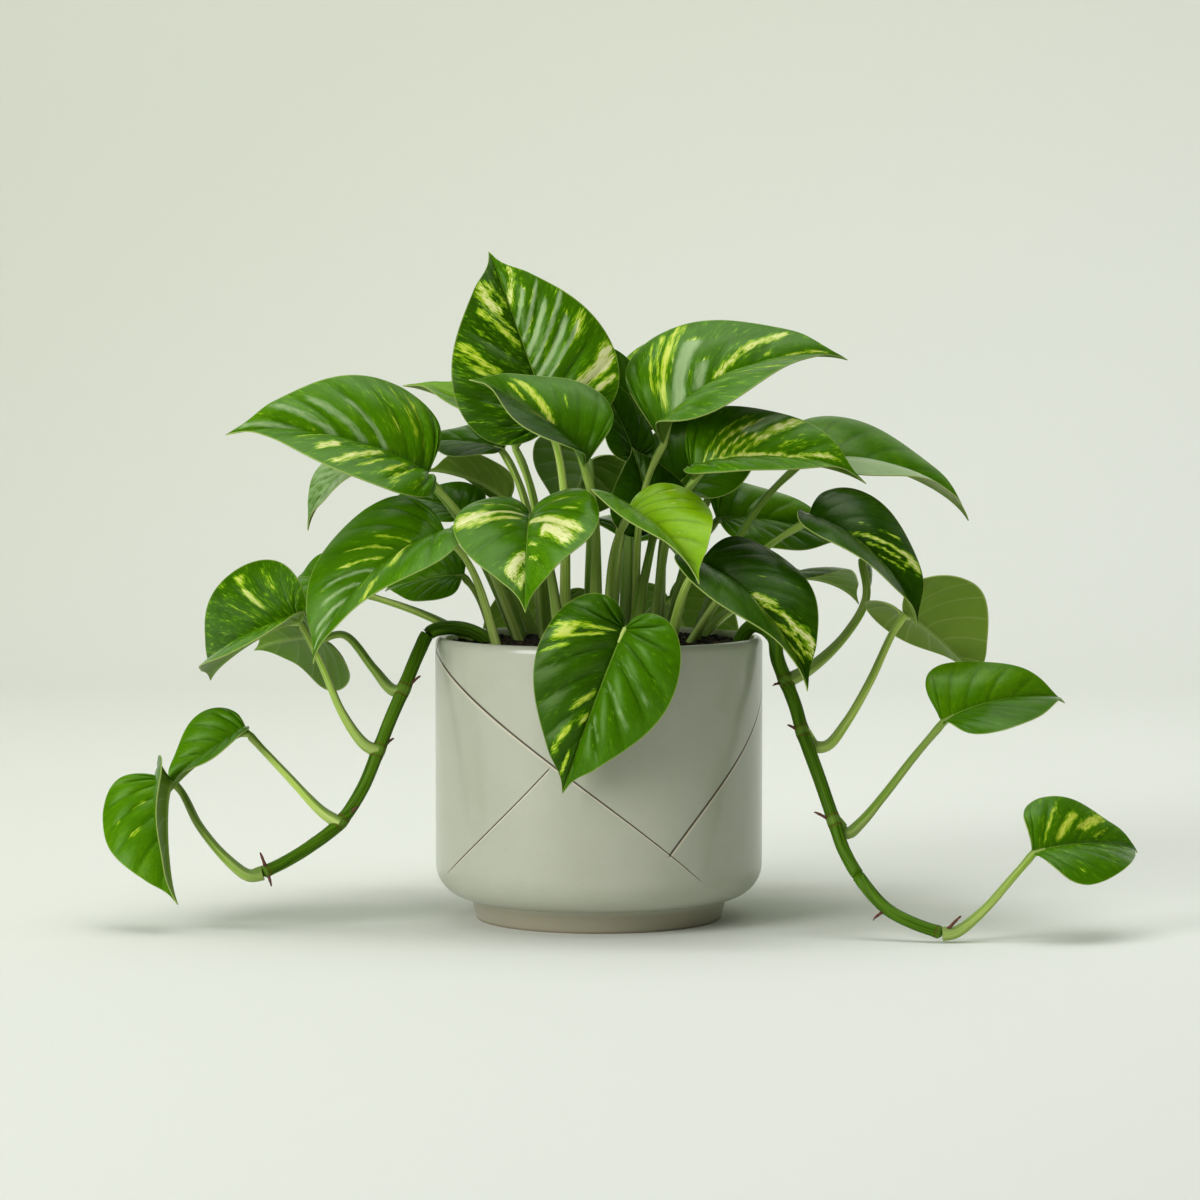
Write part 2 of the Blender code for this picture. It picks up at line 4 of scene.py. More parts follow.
import bpy
import numpy as np
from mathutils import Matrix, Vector


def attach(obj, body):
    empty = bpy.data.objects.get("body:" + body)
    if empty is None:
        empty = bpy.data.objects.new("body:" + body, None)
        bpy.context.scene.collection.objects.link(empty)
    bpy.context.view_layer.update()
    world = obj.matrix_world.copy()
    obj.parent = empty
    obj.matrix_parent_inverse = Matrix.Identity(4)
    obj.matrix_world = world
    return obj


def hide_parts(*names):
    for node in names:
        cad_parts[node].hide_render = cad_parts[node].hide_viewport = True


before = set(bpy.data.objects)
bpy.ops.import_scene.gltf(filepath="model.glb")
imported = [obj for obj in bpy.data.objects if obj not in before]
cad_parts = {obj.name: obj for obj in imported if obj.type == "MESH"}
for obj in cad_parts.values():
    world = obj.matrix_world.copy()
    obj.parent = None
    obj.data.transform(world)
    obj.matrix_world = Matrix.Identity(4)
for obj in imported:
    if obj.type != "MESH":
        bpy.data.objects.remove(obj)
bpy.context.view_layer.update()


# Studio. A pale paper sweep runs from under the pot up behind it. One large soft box lights the pot from the
# left and the front, one from above, and one lights the paper behind. None of it is part of the object.

EYE, AIM = Vector((0.0005, -1.8, 0.254)), Vector((0.0005, 0.0, 0.146))
SWEEP_HALF_WIDTH, SWEEP_FRONT, SWEEP_BACK, SWEEP_BEND, SWEEP_TOP = 3.2, -3.0, 1.3, 1.0, 3.2

camera = bpy.data.objects.new("camera", bpy.data.cameras.new("camera"))
camera.data.lens, camera.data.sensor_width = 118, 36
camera.location, camera.rotation_euler = EYE, (AIM - EYE).to_track_quat("-Z", "Y").to_euler()
bpy.context.scene.collection.objects.link(camera)
bpy.context.scene.camera = camera


class Wire:
    """One output of a material's nodes, on which arithmetic adds Math nodes."""

    def __init__(self, tree, socket=None):
        self.tree, self.socket = tree, socket

    def node(self, kind, settings=None, sockets=None, output=0):
        """The output of a new node. Its settings go in first, then the value or link of each socket."""
        made = self.tree.nodes.new("ShaderNode" + kind)
        for name, value in (settings or {}).items():
            if name == "stops":
                ramp = made.color_ramp.elements
                while len(ramp) < len(value):
                    ramp.new(0.5)
                for stop, (place, colour) in zip(ramp, value):
                    stop.position, stop.color = place, colour
            else:
                setattr(made, name, value)
        for name, value in (sockets or {}).items():
            if isinstance(value, Wire):
                self.tree.links.new(value.socket, made.inputs[name])
            else:
                made.inputs[name].default_value = value
        return Wire(self.tree, made.outputs[output])

    def beside(self, output):
        """Another output of the same node."""
        return Wire(self.tree, self.socket.node.outputs[output])

    def math(self, operation, *others):
        """A Math node on this value and the others."""
        return self.node("Math", {"operation": operation}, dict(enumerate((self, *others))))

    def __add__(self, other):
        return self.math("ADD", other)

    def __sub__(self, other):
        return self.math("SUBTRACT", other)

    def __rsub__(self, other):
        return self.node("Math", {"operation": "SUBTRACT"}, {0: other, 1: self})

    def __mul__(self, other):
        return self.math("MULTIPLY", other)

    def __truediv__(self, other):
        return self.math("DIVIDE", other)

    def __abs__(self):
        return self.math("ABSOLUTE")

    __radd__, __rmul__ = __add__, __mul__

    def rise(self, low, high):
        """A smooth step from 0 at low to 1 at high."""
        return self.node("MapRange", {"interpolation_type": "SMOOTHSTEP"}, {0: self, 1: low, 2: high})

    def blend(self, low, high):
        """A colour that goes from low to high as this goes from 0 to 1."""
        return self.node("Mix", {"data_type": "RGBA"}, {0: self, 6: low, 7: high}, 2)

    def noise(self, scale, detail=2, roughness=0.5):
        """Soft noise on this vector, about 0.5."""
        sockets = {"Vector": self, "Scale": scale, "Detail": detail, "Roughness": roughness}
        return self.node("TexNoise", {}, sockets)

    def parts(self):
        """The x, y and z of this vector."""
        x = self.node("SeparateXYZ", {}, {0: self})
        return x, x.beside("Y"), x.beside("Z")

    def mark(self, name):
        """A value that skin() has put on the mesh."""
        return self.node("Attribute", {"attribute_name": name}, output="Fac")

    def bump(self, strength, distance):
        """Normals that tilt as if this were the surface's height."""
        return self.node("Bump", {}, {"Strength": strength, "Distance": distance, "Height": self})


def paint(red, green, blue):
    """A linear colour from screen numbers of 0 to 255: c/12.92 when dark, else ((c+0.055)/1.055)^2.4."""
    c = np.array((red, green, blue)) / 255
    return (*np.where(c < 0.04045, c / 12.92, ((c + 0.055) / 1.055) ** 2.4).tolist(), 1.0)


def finish(name, roughness, **constants):
    """A material whose shader has these constant values, and the wire of the place on the object."""
    material = bpy.data.materials.new(name)
    material.use_nodes = True
    shader = material.node_tree.nodes["Principled BSDF"]
    for socket, value in {"Roughness": roughness, **constants}.items():
        shader.inputs[socket.replace("_", " ")].default_value = value
    return material, Wire(material.node_tree).node("TexCoord", output="Object")


def coat(material, **sockets):
    """Links these wires to the material's shader."""
    shader = material.node_tree.nodes["Principled BSDF"]
    for socket, wire in sockets.items():
        material.node_tree.links.new(wire.socket, shader.inputs[socket.replace("_", " ")])


def woven(rows, columns, round_rows=False, round_columns=False):
    """Triangles over a grid of points, two to a cell. A round grid's last line joins its first."""
    number = np.arange(rows * columns).reshape(rows, columns)
    number = np.vstack([number, number[:1]]) if round_rows else number
    number = np.hstack([number, number[:, :1]]) if round_columns else number
    a, b, c, d = number[:-1, :-1], number[1:, :-1], number[1:, 1:], number[:-1, 1:]
    return np.concatenate([np.stack(corners, -1).reshape(-1, 3) for corners in ((a, b, c), (a, c, d))])


def skin(name, parts, finishes, sharp=50, closed=True):
    """A mesh of parts, each (points, triangles, finish number or numbers, marks). Points that coincide are
    made one, triangles that collapse are dropped, and a closed part is turned to face outwards. Marks are the
    values at each point that the materials read, two columns for a map and one for a plain attribute. A mark
    is 0 on a part that lacks it."""
    points, corners, numbers, marks, count = [], [], [], [], 0
    for part_points, triangles, number, part_marks in parts:
        whole, index = np.unique(np.round(part_points, 7), axis=0, return_inverse=True)
        joined = index.reshape(-1)[triangles]
        kept = (joined != np.roll(joined, 1, axis=1)).all(axis=1)
        joined, triangles = joined[kept], triangles[kept]
        if closed and np.linalg.det(whole[joined]).sum() < 0:
            joined, triangles = joined[:, ::-1], triangles[:, ::-1]
        points.append(whole)
        corners.append(joined + count)
        numbers.append(np.broadcast_to(number, len(kept))[kept])
        marks.append({mark: values[triangles.reshape(-1)] for mark, values in part_marks.items()})
        count += len(whole)
    mesh = bpy.data.meshes.new(name)
    mesh.from_pydata(np.concatenate(points).tolist(), [], np.concatenate(corners).tolist())
    for mark, like in {mark: values for found in marks for mark, values in found.items()}.items():
        zeros = [np.zeros((faces.size, *like.shape[1:])) for faces in corners]
        values = np.concatenate([found.get(mark, zero) for found, zero in zip(marks, zeros)])
        values = values.astype(np.float32)
        if values.ndim == 2:
            mesh.uv_layers.new(name=mark).data.foreach_set("uv", values.ravel())
        else:
            mesh.attributes.new(mark, "FLOAT", "CORNER").data.foreach_set("value", values)
    for material in finishes:
        mesh.materials.append(material)
    mesh.polygons.foreach_set("material_index", np.concatenate(numbers).astype(np.int32))
    mesh.shade_smooth()
    mesh.set_sharp_from_angle(angle=np.radians(sharp))
    made = bpy.data.objects.new(name, mesh)
    bpy.context.scene.collection.objects.link(made)
    return made


def sweep_sheet():
    """The paper sweep: across in straight lines, and from front to back along a profile that is flat, then a
    quarter circle up, then upright."""
    turn = np.linspace(0, np.pi / 2, 24)
    y = np.concatenate([[SWEEP_FRONT], SWEEP_BACK + SWEEP_BEND * np.sin(turn), [SWEEP_BACK + SWEEP_BEND]])
    z = np.concatenate([[0], SWEEP_BEND * (1 - np.cos(turn)), [SWEEP_TOP]])
    x = np.linspace(-SWEEP_HALF_WIDTH, SWEEP_HALF_WIDTH, 9)
    points = np.stack(np.broadcast_arrays(x[:, None], y, z), -1).reshape(-1, 3)
    return points, woven(len(x), len(y))


paper, place = finish("paper_sweep", 0.9)
x, _, z = place.parts()
# Painted shade: the paper is painted darker and greener towards the top and the left, and lighter low down
# and to the right.
painted_shade = (z - x * 0.5).rise(-0.3, 0.8)
coat(paper, Base_Color=painted_shade.blend(paint(230, 233, 226), paint(214, 218, 203)))
floor = skin("paper_sweep", [(*sweep_sheet(), 0, {})], [paper], closed=False)

world = bpy.data.worlds.new("studio")
bpy.context.scene.world = world
world.use_nodes = True
mirrored = Wire(world.node_tree).node("LightPath", output="Is Glossy Ray")
backdrop = world.node_tree.nodes["Background"]
backdrop.inputs["Color"].default_value = (0.96, 0.98, 0.92, 1)
world.node_tree.links.new((0.22 - mirrored * 0.18).socket, backdrop.inputs["Strength"])

for name, spot, aim, size, power in (
    ("key", (-1.7, -1.6, 0.95), (0, 0, 0.12), (1.2, 1.5), 43),
    ("top", (0.1, 0.1, 2.1), (0, 0.1, 0.1), (2.2, 1.8), 22),
    ("wall", (0, 0.2, 2.6), (0, 2.6, 1.0), (3.2, 0.8), 30),
):
    light = bpy.data.objects.new(name, bpy.data.lights.new(name, "AREA"))
    light.data.shape, (light.data.size, light.data.size_y), light.data.energy = "RECTANGLE", size, power
    light.location = spot
    light.rotation_euler = (Vector(aim) - Vector(spot)).to_track_quat("-Z", "Y").to_euler()
    bpy.context.scene.collection.objects.link(light)

bpy.context.scene.view_settings.view_transform = "Standard"
bpy.context.scene.view_settings.look = "None"


# Pot. Thrown stoneware with a satin sage glaze, turned on a narrower foot whose bottom edge is wiped bare,
# its dark brown partly painted contact shadow.
# The glaze breaks to warm beige along thin lines that were scored in the clay before firing, and on one side
# of each line the beige is partly a painted highlight.

POT_RADIUS, POT_HEIGHT, POT_WALL = 0.0750, 0.1295, 0.0050
FOOT_RADIUS, FOOT_BOTTOM_RADIUS, FOOT_HEIGHT = 0.0586, 0.0556, 0.0100
CORNER_RADIUS, FLOOR_TOP, INNER_CORNER_RADIUS = 0.0158, 0.0180, 0.0120
FOOT_ROUNDING, JOINT_ROUNDING, JOINT_DROP, LIP_POINT, POT_STEPS = 0.0008, 0.0006, 0.0002, 1.4, 256
SCORED_WIDTH_MM, SCORED_EDGE, SCORED_DEPTH = 0.42, 0.35, 0.0006
# Each scored line: its height in mm as a polynomial of the way round in mm, highest power first, where it
# starts and ends round the pot, and how wide it is at both ends. They come again on the back, half way round.
SCORED_LINES = (
    ((7.27e-6, -8.42e-4, -0.7527, 62.0), -108, 50, 2.1, 0.5),
    ((4.0e-3, 1.241, 101.2), -87, -21.5, 0.8, 0.8),
    ((4.2e-5, -0.01148, 1.8206, -11.64), 31.5, 138, 1.5, 1.9),
)


def arc(radius, height, wide, first, last, count, high=None):
    """Points (r, z) of an arc: r = radius + wide*cos(a), z = height + high*sin(a), a from first to last."""
    high, a = high or wide, np.radians(np.linspace(first, last, count))
    return np.stack([radius + wide * np.cos(a), height + high * np.sin(a)], -1)


def straight(first, last, count):
    """Even points (r, z) between two, without the ends."""
    return np.linspace(first, last, count + 2)[1:-1]


def pot_outline():
    """The wall as (r, z), from the middle under the foot, up outside, over the lip and down to the floor."""
    lip = LIP_POINT * POT_WALL / 2
    inner = POT_RADIUS - POT_WALL - INNER_CORNER_RADIUS
    foot = arc(FOOT_BOTTOM_RADIUS, FOOT_ROUNDING, FOOT_ROUNDING, -90, -10, 7)
    corner = arc(POT_RADIUS - CORNER_RADIUS, FOOT_HEIGHT + CORNER_RADIUS, CORNER_RADIUS, -78, 0, 22)
    over = arc(POT_RADIUS - POT_WALL / 2, POT_HEIGHT - lip, POT_WALL / 2, 0, 180, 22, lip)
    inside = arc(inner, FLOOR_TOP + INNER_CORNER_RADIUS, INNER_CORNER_RADIUS, 0, -90, 14)
    joint = arc(FOOT_RADIUS + JOINT_ROUNDING, FOOT_HEIGHT - JOINT_DROP, JOINT_ROUNDING, 180, 90, 5)
    return np.concatenate([
        [(0, 0)], straight((0, 0), foot[0], 5), foot, straight(foot[-1], joint[0], 6), joint, corner,
        straight(corner[-1], over[0], 30), over, straight(over[-1], inside[0], 20), inside,
        straight(inside[-1], (0, FLOOR_TOP), 5), [(0, FLOOR_TOP)],
    ])


def turned(outline, steps):
    """A profile (r, z) turned round the upright axis: x = r*cos(a), y = r*sin(a)."""
    a = 2 * np.pi * np.arange(steps)[:, None] / steps
    r, z = outline[:, 0], outline[:, 1]
    points = np.stack(np.broadcast_arrays(r * np.cos(a), r * np.sin(a), z), -1).reshape(-1, 3)
    return points, woven(steps, len(outline), round_rows=True)


def layers(colour, *coats):
    """The colour with coats laid over it in turn, each a mask and the screen numbers of its own colour."""
    for mask, *numbers in coats:
        colour = mask.blend(colour, paint(*numbers))
    return colour


glaze, place = finish("sage_glaze", 0.30, Coat_Weight=0.35, Coat_Roughness=0.12)
x, y, z = place.parts()
way_round = x.math("ARCTAN2", y * -1) * (POT_RADIUS * 1000)
height = z * 1000
repeat = np.pi * POT_RADIUS * 1000
groove, glaze_break_and_highlight = 0, 0
for powers, first, last, wide, wide_end in SCORED_LINES:
    lowest = (first + last) / 2 - repeat / 2
    s = (way_round - lowest).math("FLOORED_MODULO", repeat) + lowest
    line, slope = powers[0], 0
    for power in powers[1:]:
        slope = s * slope + line
        line = s * line + power
    off = (height - line) / (slope * slope + 1).math("SQRT")
    wide = (s - first) * ((wide_end - wide) / (last - first)) + wide
    shown = s.rise(first, first + 1.5) * (1 - s.rise(last - 1.5, last)) * height.rise(19, 31)
    narrow = (abs(off) / wide).rise(SCORED_WIDTH_MM * SCORED_EDGE, SCORED_WIDTH_MM)
    groove = (1 - narrow) * shown + groove
    # Partly the glaze thinning to beige at the line's edge and partly a painted highlight: the beige lies on
    # one side of the line only, where its edge catches the light.
    glaze_break_and_highlight = (1 - abs((off + 0.3) / wide + 0.25).rise(0.3, 0.6)) * shown + glaze_break_and_highlight
mottle = place.noise(38, 4, 0.6)
speck = place.noise(900).rise(0.66, 0.76)
# The bottom 1.6 mm is dark brown and matte: partly the bare clay ring and partly a painted contact shadow
# where the pot meets the floor.
low = 1 - z.rise(0.0004, 0.0016)
body = layers(
    paint(174, 177, 158),
    (mottle.rise(0.3, 0.7), 178, 181, 163),
    (speck * 0.25, 128, 126, 104),
    (glaze_break_and_highlight.math("MINIMUM", 1) * 0.75, 212, 204, 180),
    (groove.math("MINIMUM", 1), 70, 56, 38),
    (low * 0.9, 84, 62, 44),
    ((1 - z.rise(0.007, 0.011)) * 0.75, 142, 133, 109),
)
relief = place.noise(14, 3) * 0.5 + place.noise(420) * 0.012 - groove * 0.9
uneven = low * 0.5 + (mottle * 0.06 + 0.26) + groove * 0.2
coat(glaze, Base_Color=body, Normal=relief.bump(1.0, SCORED_DEPTH), Roughness=uneven)
pot = skin("glazed_pot", [(*turned(pot_outline(), POT_STEPS), 0, {})], [glaze], sharp=60)
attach(pot, "root")
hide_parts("pot")


# Soil. Damp dark potting mix, pressed in to just under the lip, crumbly on top, with bits of bark and a few
# pale grains.

GAP, SOIL_TOP, SOIL_CROWN = 0.0003, 0.1255, 0.0015
SOIL_RINGS, SOIL_STEPS, SOIL_EDGE = 60, 160, 0.004
SOIL_WAVES, SOIL_WAVE_PACE, SOIL_WAVE_HEIGHT = 26, 520, 0.00022
CRUMBS, CRUMB_SIZES, CRUMB_UNEVENNESS = 900, (0.0008, 0.0024), (0.6, 1.3)
CRUMB_FLATNESS, CRUMB_LIFT, CRUMB_EDGE = 0.7, 0.0003, 0.003
chance = np.random.default_rng(7)


def soil_body():
    """The filling as a turned body, whose gently domed top rises and falls by a sum of seeded waves,
    height*sin(pace.place + phase), which die out at the wall."""
    inner = POT_RADIUS - POT_WALL - INNER_CORNER_RADIUS
    corner = INNER_CORNER_RADIUS - GAP
    side = inner + corner
    floor = arc(inner, FLOOR_TOP + INNER_CORNER_RADIUS, corner, -90, 0, 8)
    share = np.linspace(1, 0, SOIL_RINGS)
    top = np.stack([side * share, SOIL_TOP + SOIL_CROWN * (1 - share**2)], -1)
    points, triangles = turned(np.concatenate([[(0, FLOOR_TOP + GAP)], floor, top]), SOIL_STEPS)
    waves = chance.normal(0, SOIL_WAVE_PACE, (SOIL_WAVES, 2))
    phases = chance.uniform(0, 2 * np.pi, SOIL_WAVES)
    lumps = np.sin(points[:, :2] @ waves.T + phases).sum(axis=1) * SOIL_WAVE_HEIGHT
    near_wall = np.clip((side - np.hypot(points[:, 0], points[:, 1])) / SOIL_EDGE, 0, 1)
    points[:, 2] += np.where(points[:, 2] > SOIL_TOP - 1e-4, lumps * near_wall, 0)
    return points, triangles


def crumbs():
    """Small lumps strewn on the soil: each an icosahedron whose corners are moved in or out at random."""
    golden = (1 + 5**0.5) / 2
    corners = np.array([(-1, golden, 0), (1, golden, 0), (-1, -golden, 0), (1, -golden, 0)]) / 1.9
    corners = np.concatenate([np.roll(corners, axis, axis=1) for axis in range(3)])
    faces = np.array([(0, 11, 5), (0, 5, 1), (0, 1, 7), (0, 7, 10), (0, 10, 11), (1, 5, 9), (5, 11, 4),
                      (11, 10, 2), (10, 7, 6), (7, 1, 8), (3, 9, 4), (3, 4, 2), (3, 2, 6), (3, 6, 8),
                      (3, 8, 9), (4, 9, 5), (2, 4, 11), (6, 2, 10), (8, 6, 7), (9, 8, 1)])
    size = chance.uniform(*CRUMB_SIZES, (CRUMBS, 1, 1)) * chance.uniform(*CRUMB_UNEVENNESS, (CRUMBS, 12, 3))
    far = (POT_RADIUS - POT_WALL - CRUMB_EDGE) * chance.uniform(0, 1, CRUMBS) ** 0.5
    turn = chance.uniform(0, 2 * np.pi, CRUMBS)
    height = SOIL_TOP + SOIL_CROWN * (1 - (far / POT_RADIUS) ** 2) + CRUMB_LIFT
    middles = np.stack([far * np.cos(turn), far * np.sin(turn), height], -1)
    points = middles[:, None] + corners * size * (1, 1, CRUMB_FLATNESS)
    pale = np.repeat(chance.uniform(0, 1, CRUMBS), 12)
    triangles = (faces + 12 * np.arange(CRUMBS)[:, None, None]).reshape(-1, 3)
    return points.reshape(-1, 3), triangles, 0, {"pale": pale}


earth, place = finish("damp_potting_mix", 0.85, Specular_IOR_Level=0.15)
grain = place.noise(700, 4, 0.7)
pale = place.mark("pale")
earth_colour = layers(
    paint(8, 7, 3),
    (grain.rise(0.35, 0.72), 42, 31, 16),
    (pale.rise(0.80, 0.83), 74, 52, 30),
    (pale.rise(0.965, 0.97), 126, 116, 84),
)
coat(earth, Base_Color=earth_colour, Normal=grain.bump(0.9, 0.0006), Roughness=grain * 0.3 + 0.62)
soil = skin("potting_mix", [(*soil_body(), 0, {}), crumbs()], [earth], sharp=40)
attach(soil, "root")
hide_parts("soil")


# Crown leaves. Each heart-shaped blade is firm and glossy, with veins that run forward from the midrib to the
# margin. Yellow and cream streaks follow them, and so do silvery streaks of painted sheen. It grows on its
# own channelled stalk out of the soil.

BLADE_THICKNESS = 0.0005
LOBE_SHARE, WIDEST = 0.42, 0.88
ROUND_LOBE = ((0.0, 0.0), (0.17, 0.0), (0.40, -0.03), (0.44, 0.22))
DEEP_LOBE = ((0.0, 0.0), (0.05, -0.19), (0.41, -0.21), (0.44, 0.22))
FLANK = ((0.44, 0.22), (0.455, 0.56), (0.11, 0.80), (0.0, 1.0))
FIRST_VEIN, VEIN_CROWDING, VEIN_SWEEP = 0.30, 1.9, 1.35
CUP, FUNNEL_REACH, FUNNEL_FLARE = 22.0, 0.05, 0.5
TIP_CURL, TIP_SHARE, BEHIND_BASE, MIDRIB_STEPS = 12.0, 0.28, 0.35, 271
DRIP_TIP, DRIP_START, DRIP_REACH = 0.42, 0.79, 0.16
WAVE_HEIGHT, WAVES, WAVE_SIDES, WAVES_PER_METRE = 0.0012, 2.3, 0.37, 70
VEINS, VEIN_SHIFT, QUILT = 9, 0.2, 0.0011
MIDRIB_RIDGE, MIDRIB_GROOVE, MIDRIB_REACH = 0.0010, 0.0003, 0.0012
SUNK_STATION, UNFLECKED = 0.09, 0.45
PETIOLE_ROOT_RADIUS, PETIOLE_TOP_RADIUS, PETIOLE_END_RADIUS = 0.0027, 0.0017, 0.0007
PETIOLE_LEAN, LOW_PULL, HIGH_PULL, OUTWARD_PULL, TIPWARD_PULL = 0.62, 0.40, 0.33, 0.35, 0.25
PETIOLE_RINGS, PETIOLE_SIDES, CHANNEL, SHEATH, SHEATH_SHARE = 30, 20, 0.55, 0.28, 0.45
PETIOLE_SUNK, KNEE_SWELL, KNEE_PLACE, KNEE_REACH = 0.006, 0.16, 0.93, 0.05
ALONG = np.linspace(0, 1, 91)
ACROSS = np.array((0, 0.014, 0.032, 0.06, 0.11, 0.18, 0.26, 0.35, 0.45, 0.56, 0.67, 0.78, 0.88, 0.955, 1))

# Each, in millimetres and degrees: where it stands in the soil (x, y), base of the blade, tip of the blade,
# roll of the upper face from the front towards the top, fold of each half up from flat, width over length,
# bend along the midrib, depth of the lobes, depth of the funnel at the stalk in hundredths of the length.
CROWN = {
    "top_left": ((-15, 9), (-22, 0, 227), (-51, 25, 306), 8, 6, 0.88, 14, 0.5, 4),
    "top_front": ((-1, -16), (-3, -37, 217), (-59, -14, 247), 56, 18, 0.8, 8, 0.1, 18),
    "top_right": ((15, 2), (21, -5, 232), (115, 22, 256), 62, 13, 0.8, 40, 0, 20),
    "top_rear": ((12, 26), (21, 58, 237), (69, 94, 265), 51, 8, 0.76, 30, 0.2, 4),
    "top_middle": ((5, 12), (17, 33, 222), (-7, 48, 268), 38, 6, 0.66, 16, 0.2, 4),
    "middle_dark": ((4, 1), (17, 23, 211), (-4, 27, 250), 46, 6, 0.66, 20, 0.2, 4),
    "middle_low": ((16, -12), (26, 12, 178), (15, 18, 216), 14, 4, 0.96, 14, 0.3, 4),
    "left_upper": ((-36, 0), (-77, -6, 205), (-169, -18, 222), 50, 14, 0.79, 46, 0, 4),
    "left_drooping": ((-37, 9), (-95, 26, 214), (-135, 22, 177), 68, 9, 0.8, 60, 0.2, 4),
    "left_inner": ((-24, 4), (-35, 19, 219), (-91, 26, 244), 70, 12, 0.72, 22, 0, 10),
    "left_dark": ((-25, 17), (-45, 33, 215), (-86, 57, 214), 65, 6, 0.74, 30, 0.2, 4),
    "left_rear": ((-22, 30), (-42, 48, 190), (-83, 76, 203), 122, 14, 0.8, 30, 0.3, 4),
    "left_rear_low": ((-36, 24), (-61, 43, 184), (-98, 73, 190), 60, 4, 0.78, 20, 0.2, 4),
    "left_lower": ((-46, -21), (-69, -26, 180), (-128, -44, 120), 56, 12, 0.84, 56, 0, 6),
    "left_low": ((-48, 14), (-63, 14, 157), (-100, 36, 148), 50, 2, 0.74, 20, 0.2, 4),
    "left_far": ((-58, 10), (-112, 26, 149), (-143, 64, 153), 30, 2, 0.84, 20, 0.2, 4),
    "front_left": ((-17, -26), (-31, -36, 188), (-32, -92, 146), 8, 8, 0.94, 24, 1, 4),
    "front_right": ((3, -31), (14, -33, 189), (44, -84, 158), 50, 21, 0.82, 30, 0.8, 4),
    "front_low": ((11, -44), (11, -86, 139), (-16, -86, 66), 12, 4, 0.82, 16, 1, 4),
    "right_upper": ((24, -10), (41, -20, 208), (121, -20, 200), 61, 19, 0.8, 40, 0.1, 10),
    "right_inner": ((27, 17), (35, 31, 197), (86, 56, 230), 48, 8, 0.92, 24, 0.2, 4),
    "right_far": ((44, 15), (93, 30, 210), (175, 60, 180), 74, 12, 0.74, 48, 0, 4),
    "right_middle": ((41, -9), (95, -15, 186), (144, -22, 135), 62, 12, 0.88, 58, 0.1, 6),
    "right_lower": ((32, -34), (45, -45, 166), (92, -73, 110), 54, 12, 0.84, 54, 0.1, 4),
    "right_rear": ((32, 8), (56, 41, 183), (117, 80, 166), 58, 4, 0.66, 30, 0.2, 4),
    "right_turned": ((33, 27), (51, 62, 198), (68, 114, 212), 120, 2, 0.76, 26, 0.3, 7),
    "back_low_left": ((-14, 42), (-22, 86, 140), (-40, 98, 72), 165, 8, 0.8, 30, 0.8, 4),
    "back_low_right": ((18, 44), (34, 86, 143), (54, 100, 80), 160, 8, 0.8, 30, 0.8, 4),
    "back_left": ((-30, 38), (-62, 68, 178), (-100, 116, 172), 105, 8, 0.8, 46, 0.3, 4),
    "back_top": ((-4, 26), (-4, 60, 210), (-18, 102, 172), 180, 8, 0.94, 30, 0.3, 4),
    "back_middle": ((3, 38), (16, 72, 170), (40, 138, 156), 110, 8, 0.8, 50, 0.3, 4),
    "back_right": ((47, 34), (81, 71, 149), (127, 117, 137), 100, 8, 0.8, 46, 0.3, 4),
}
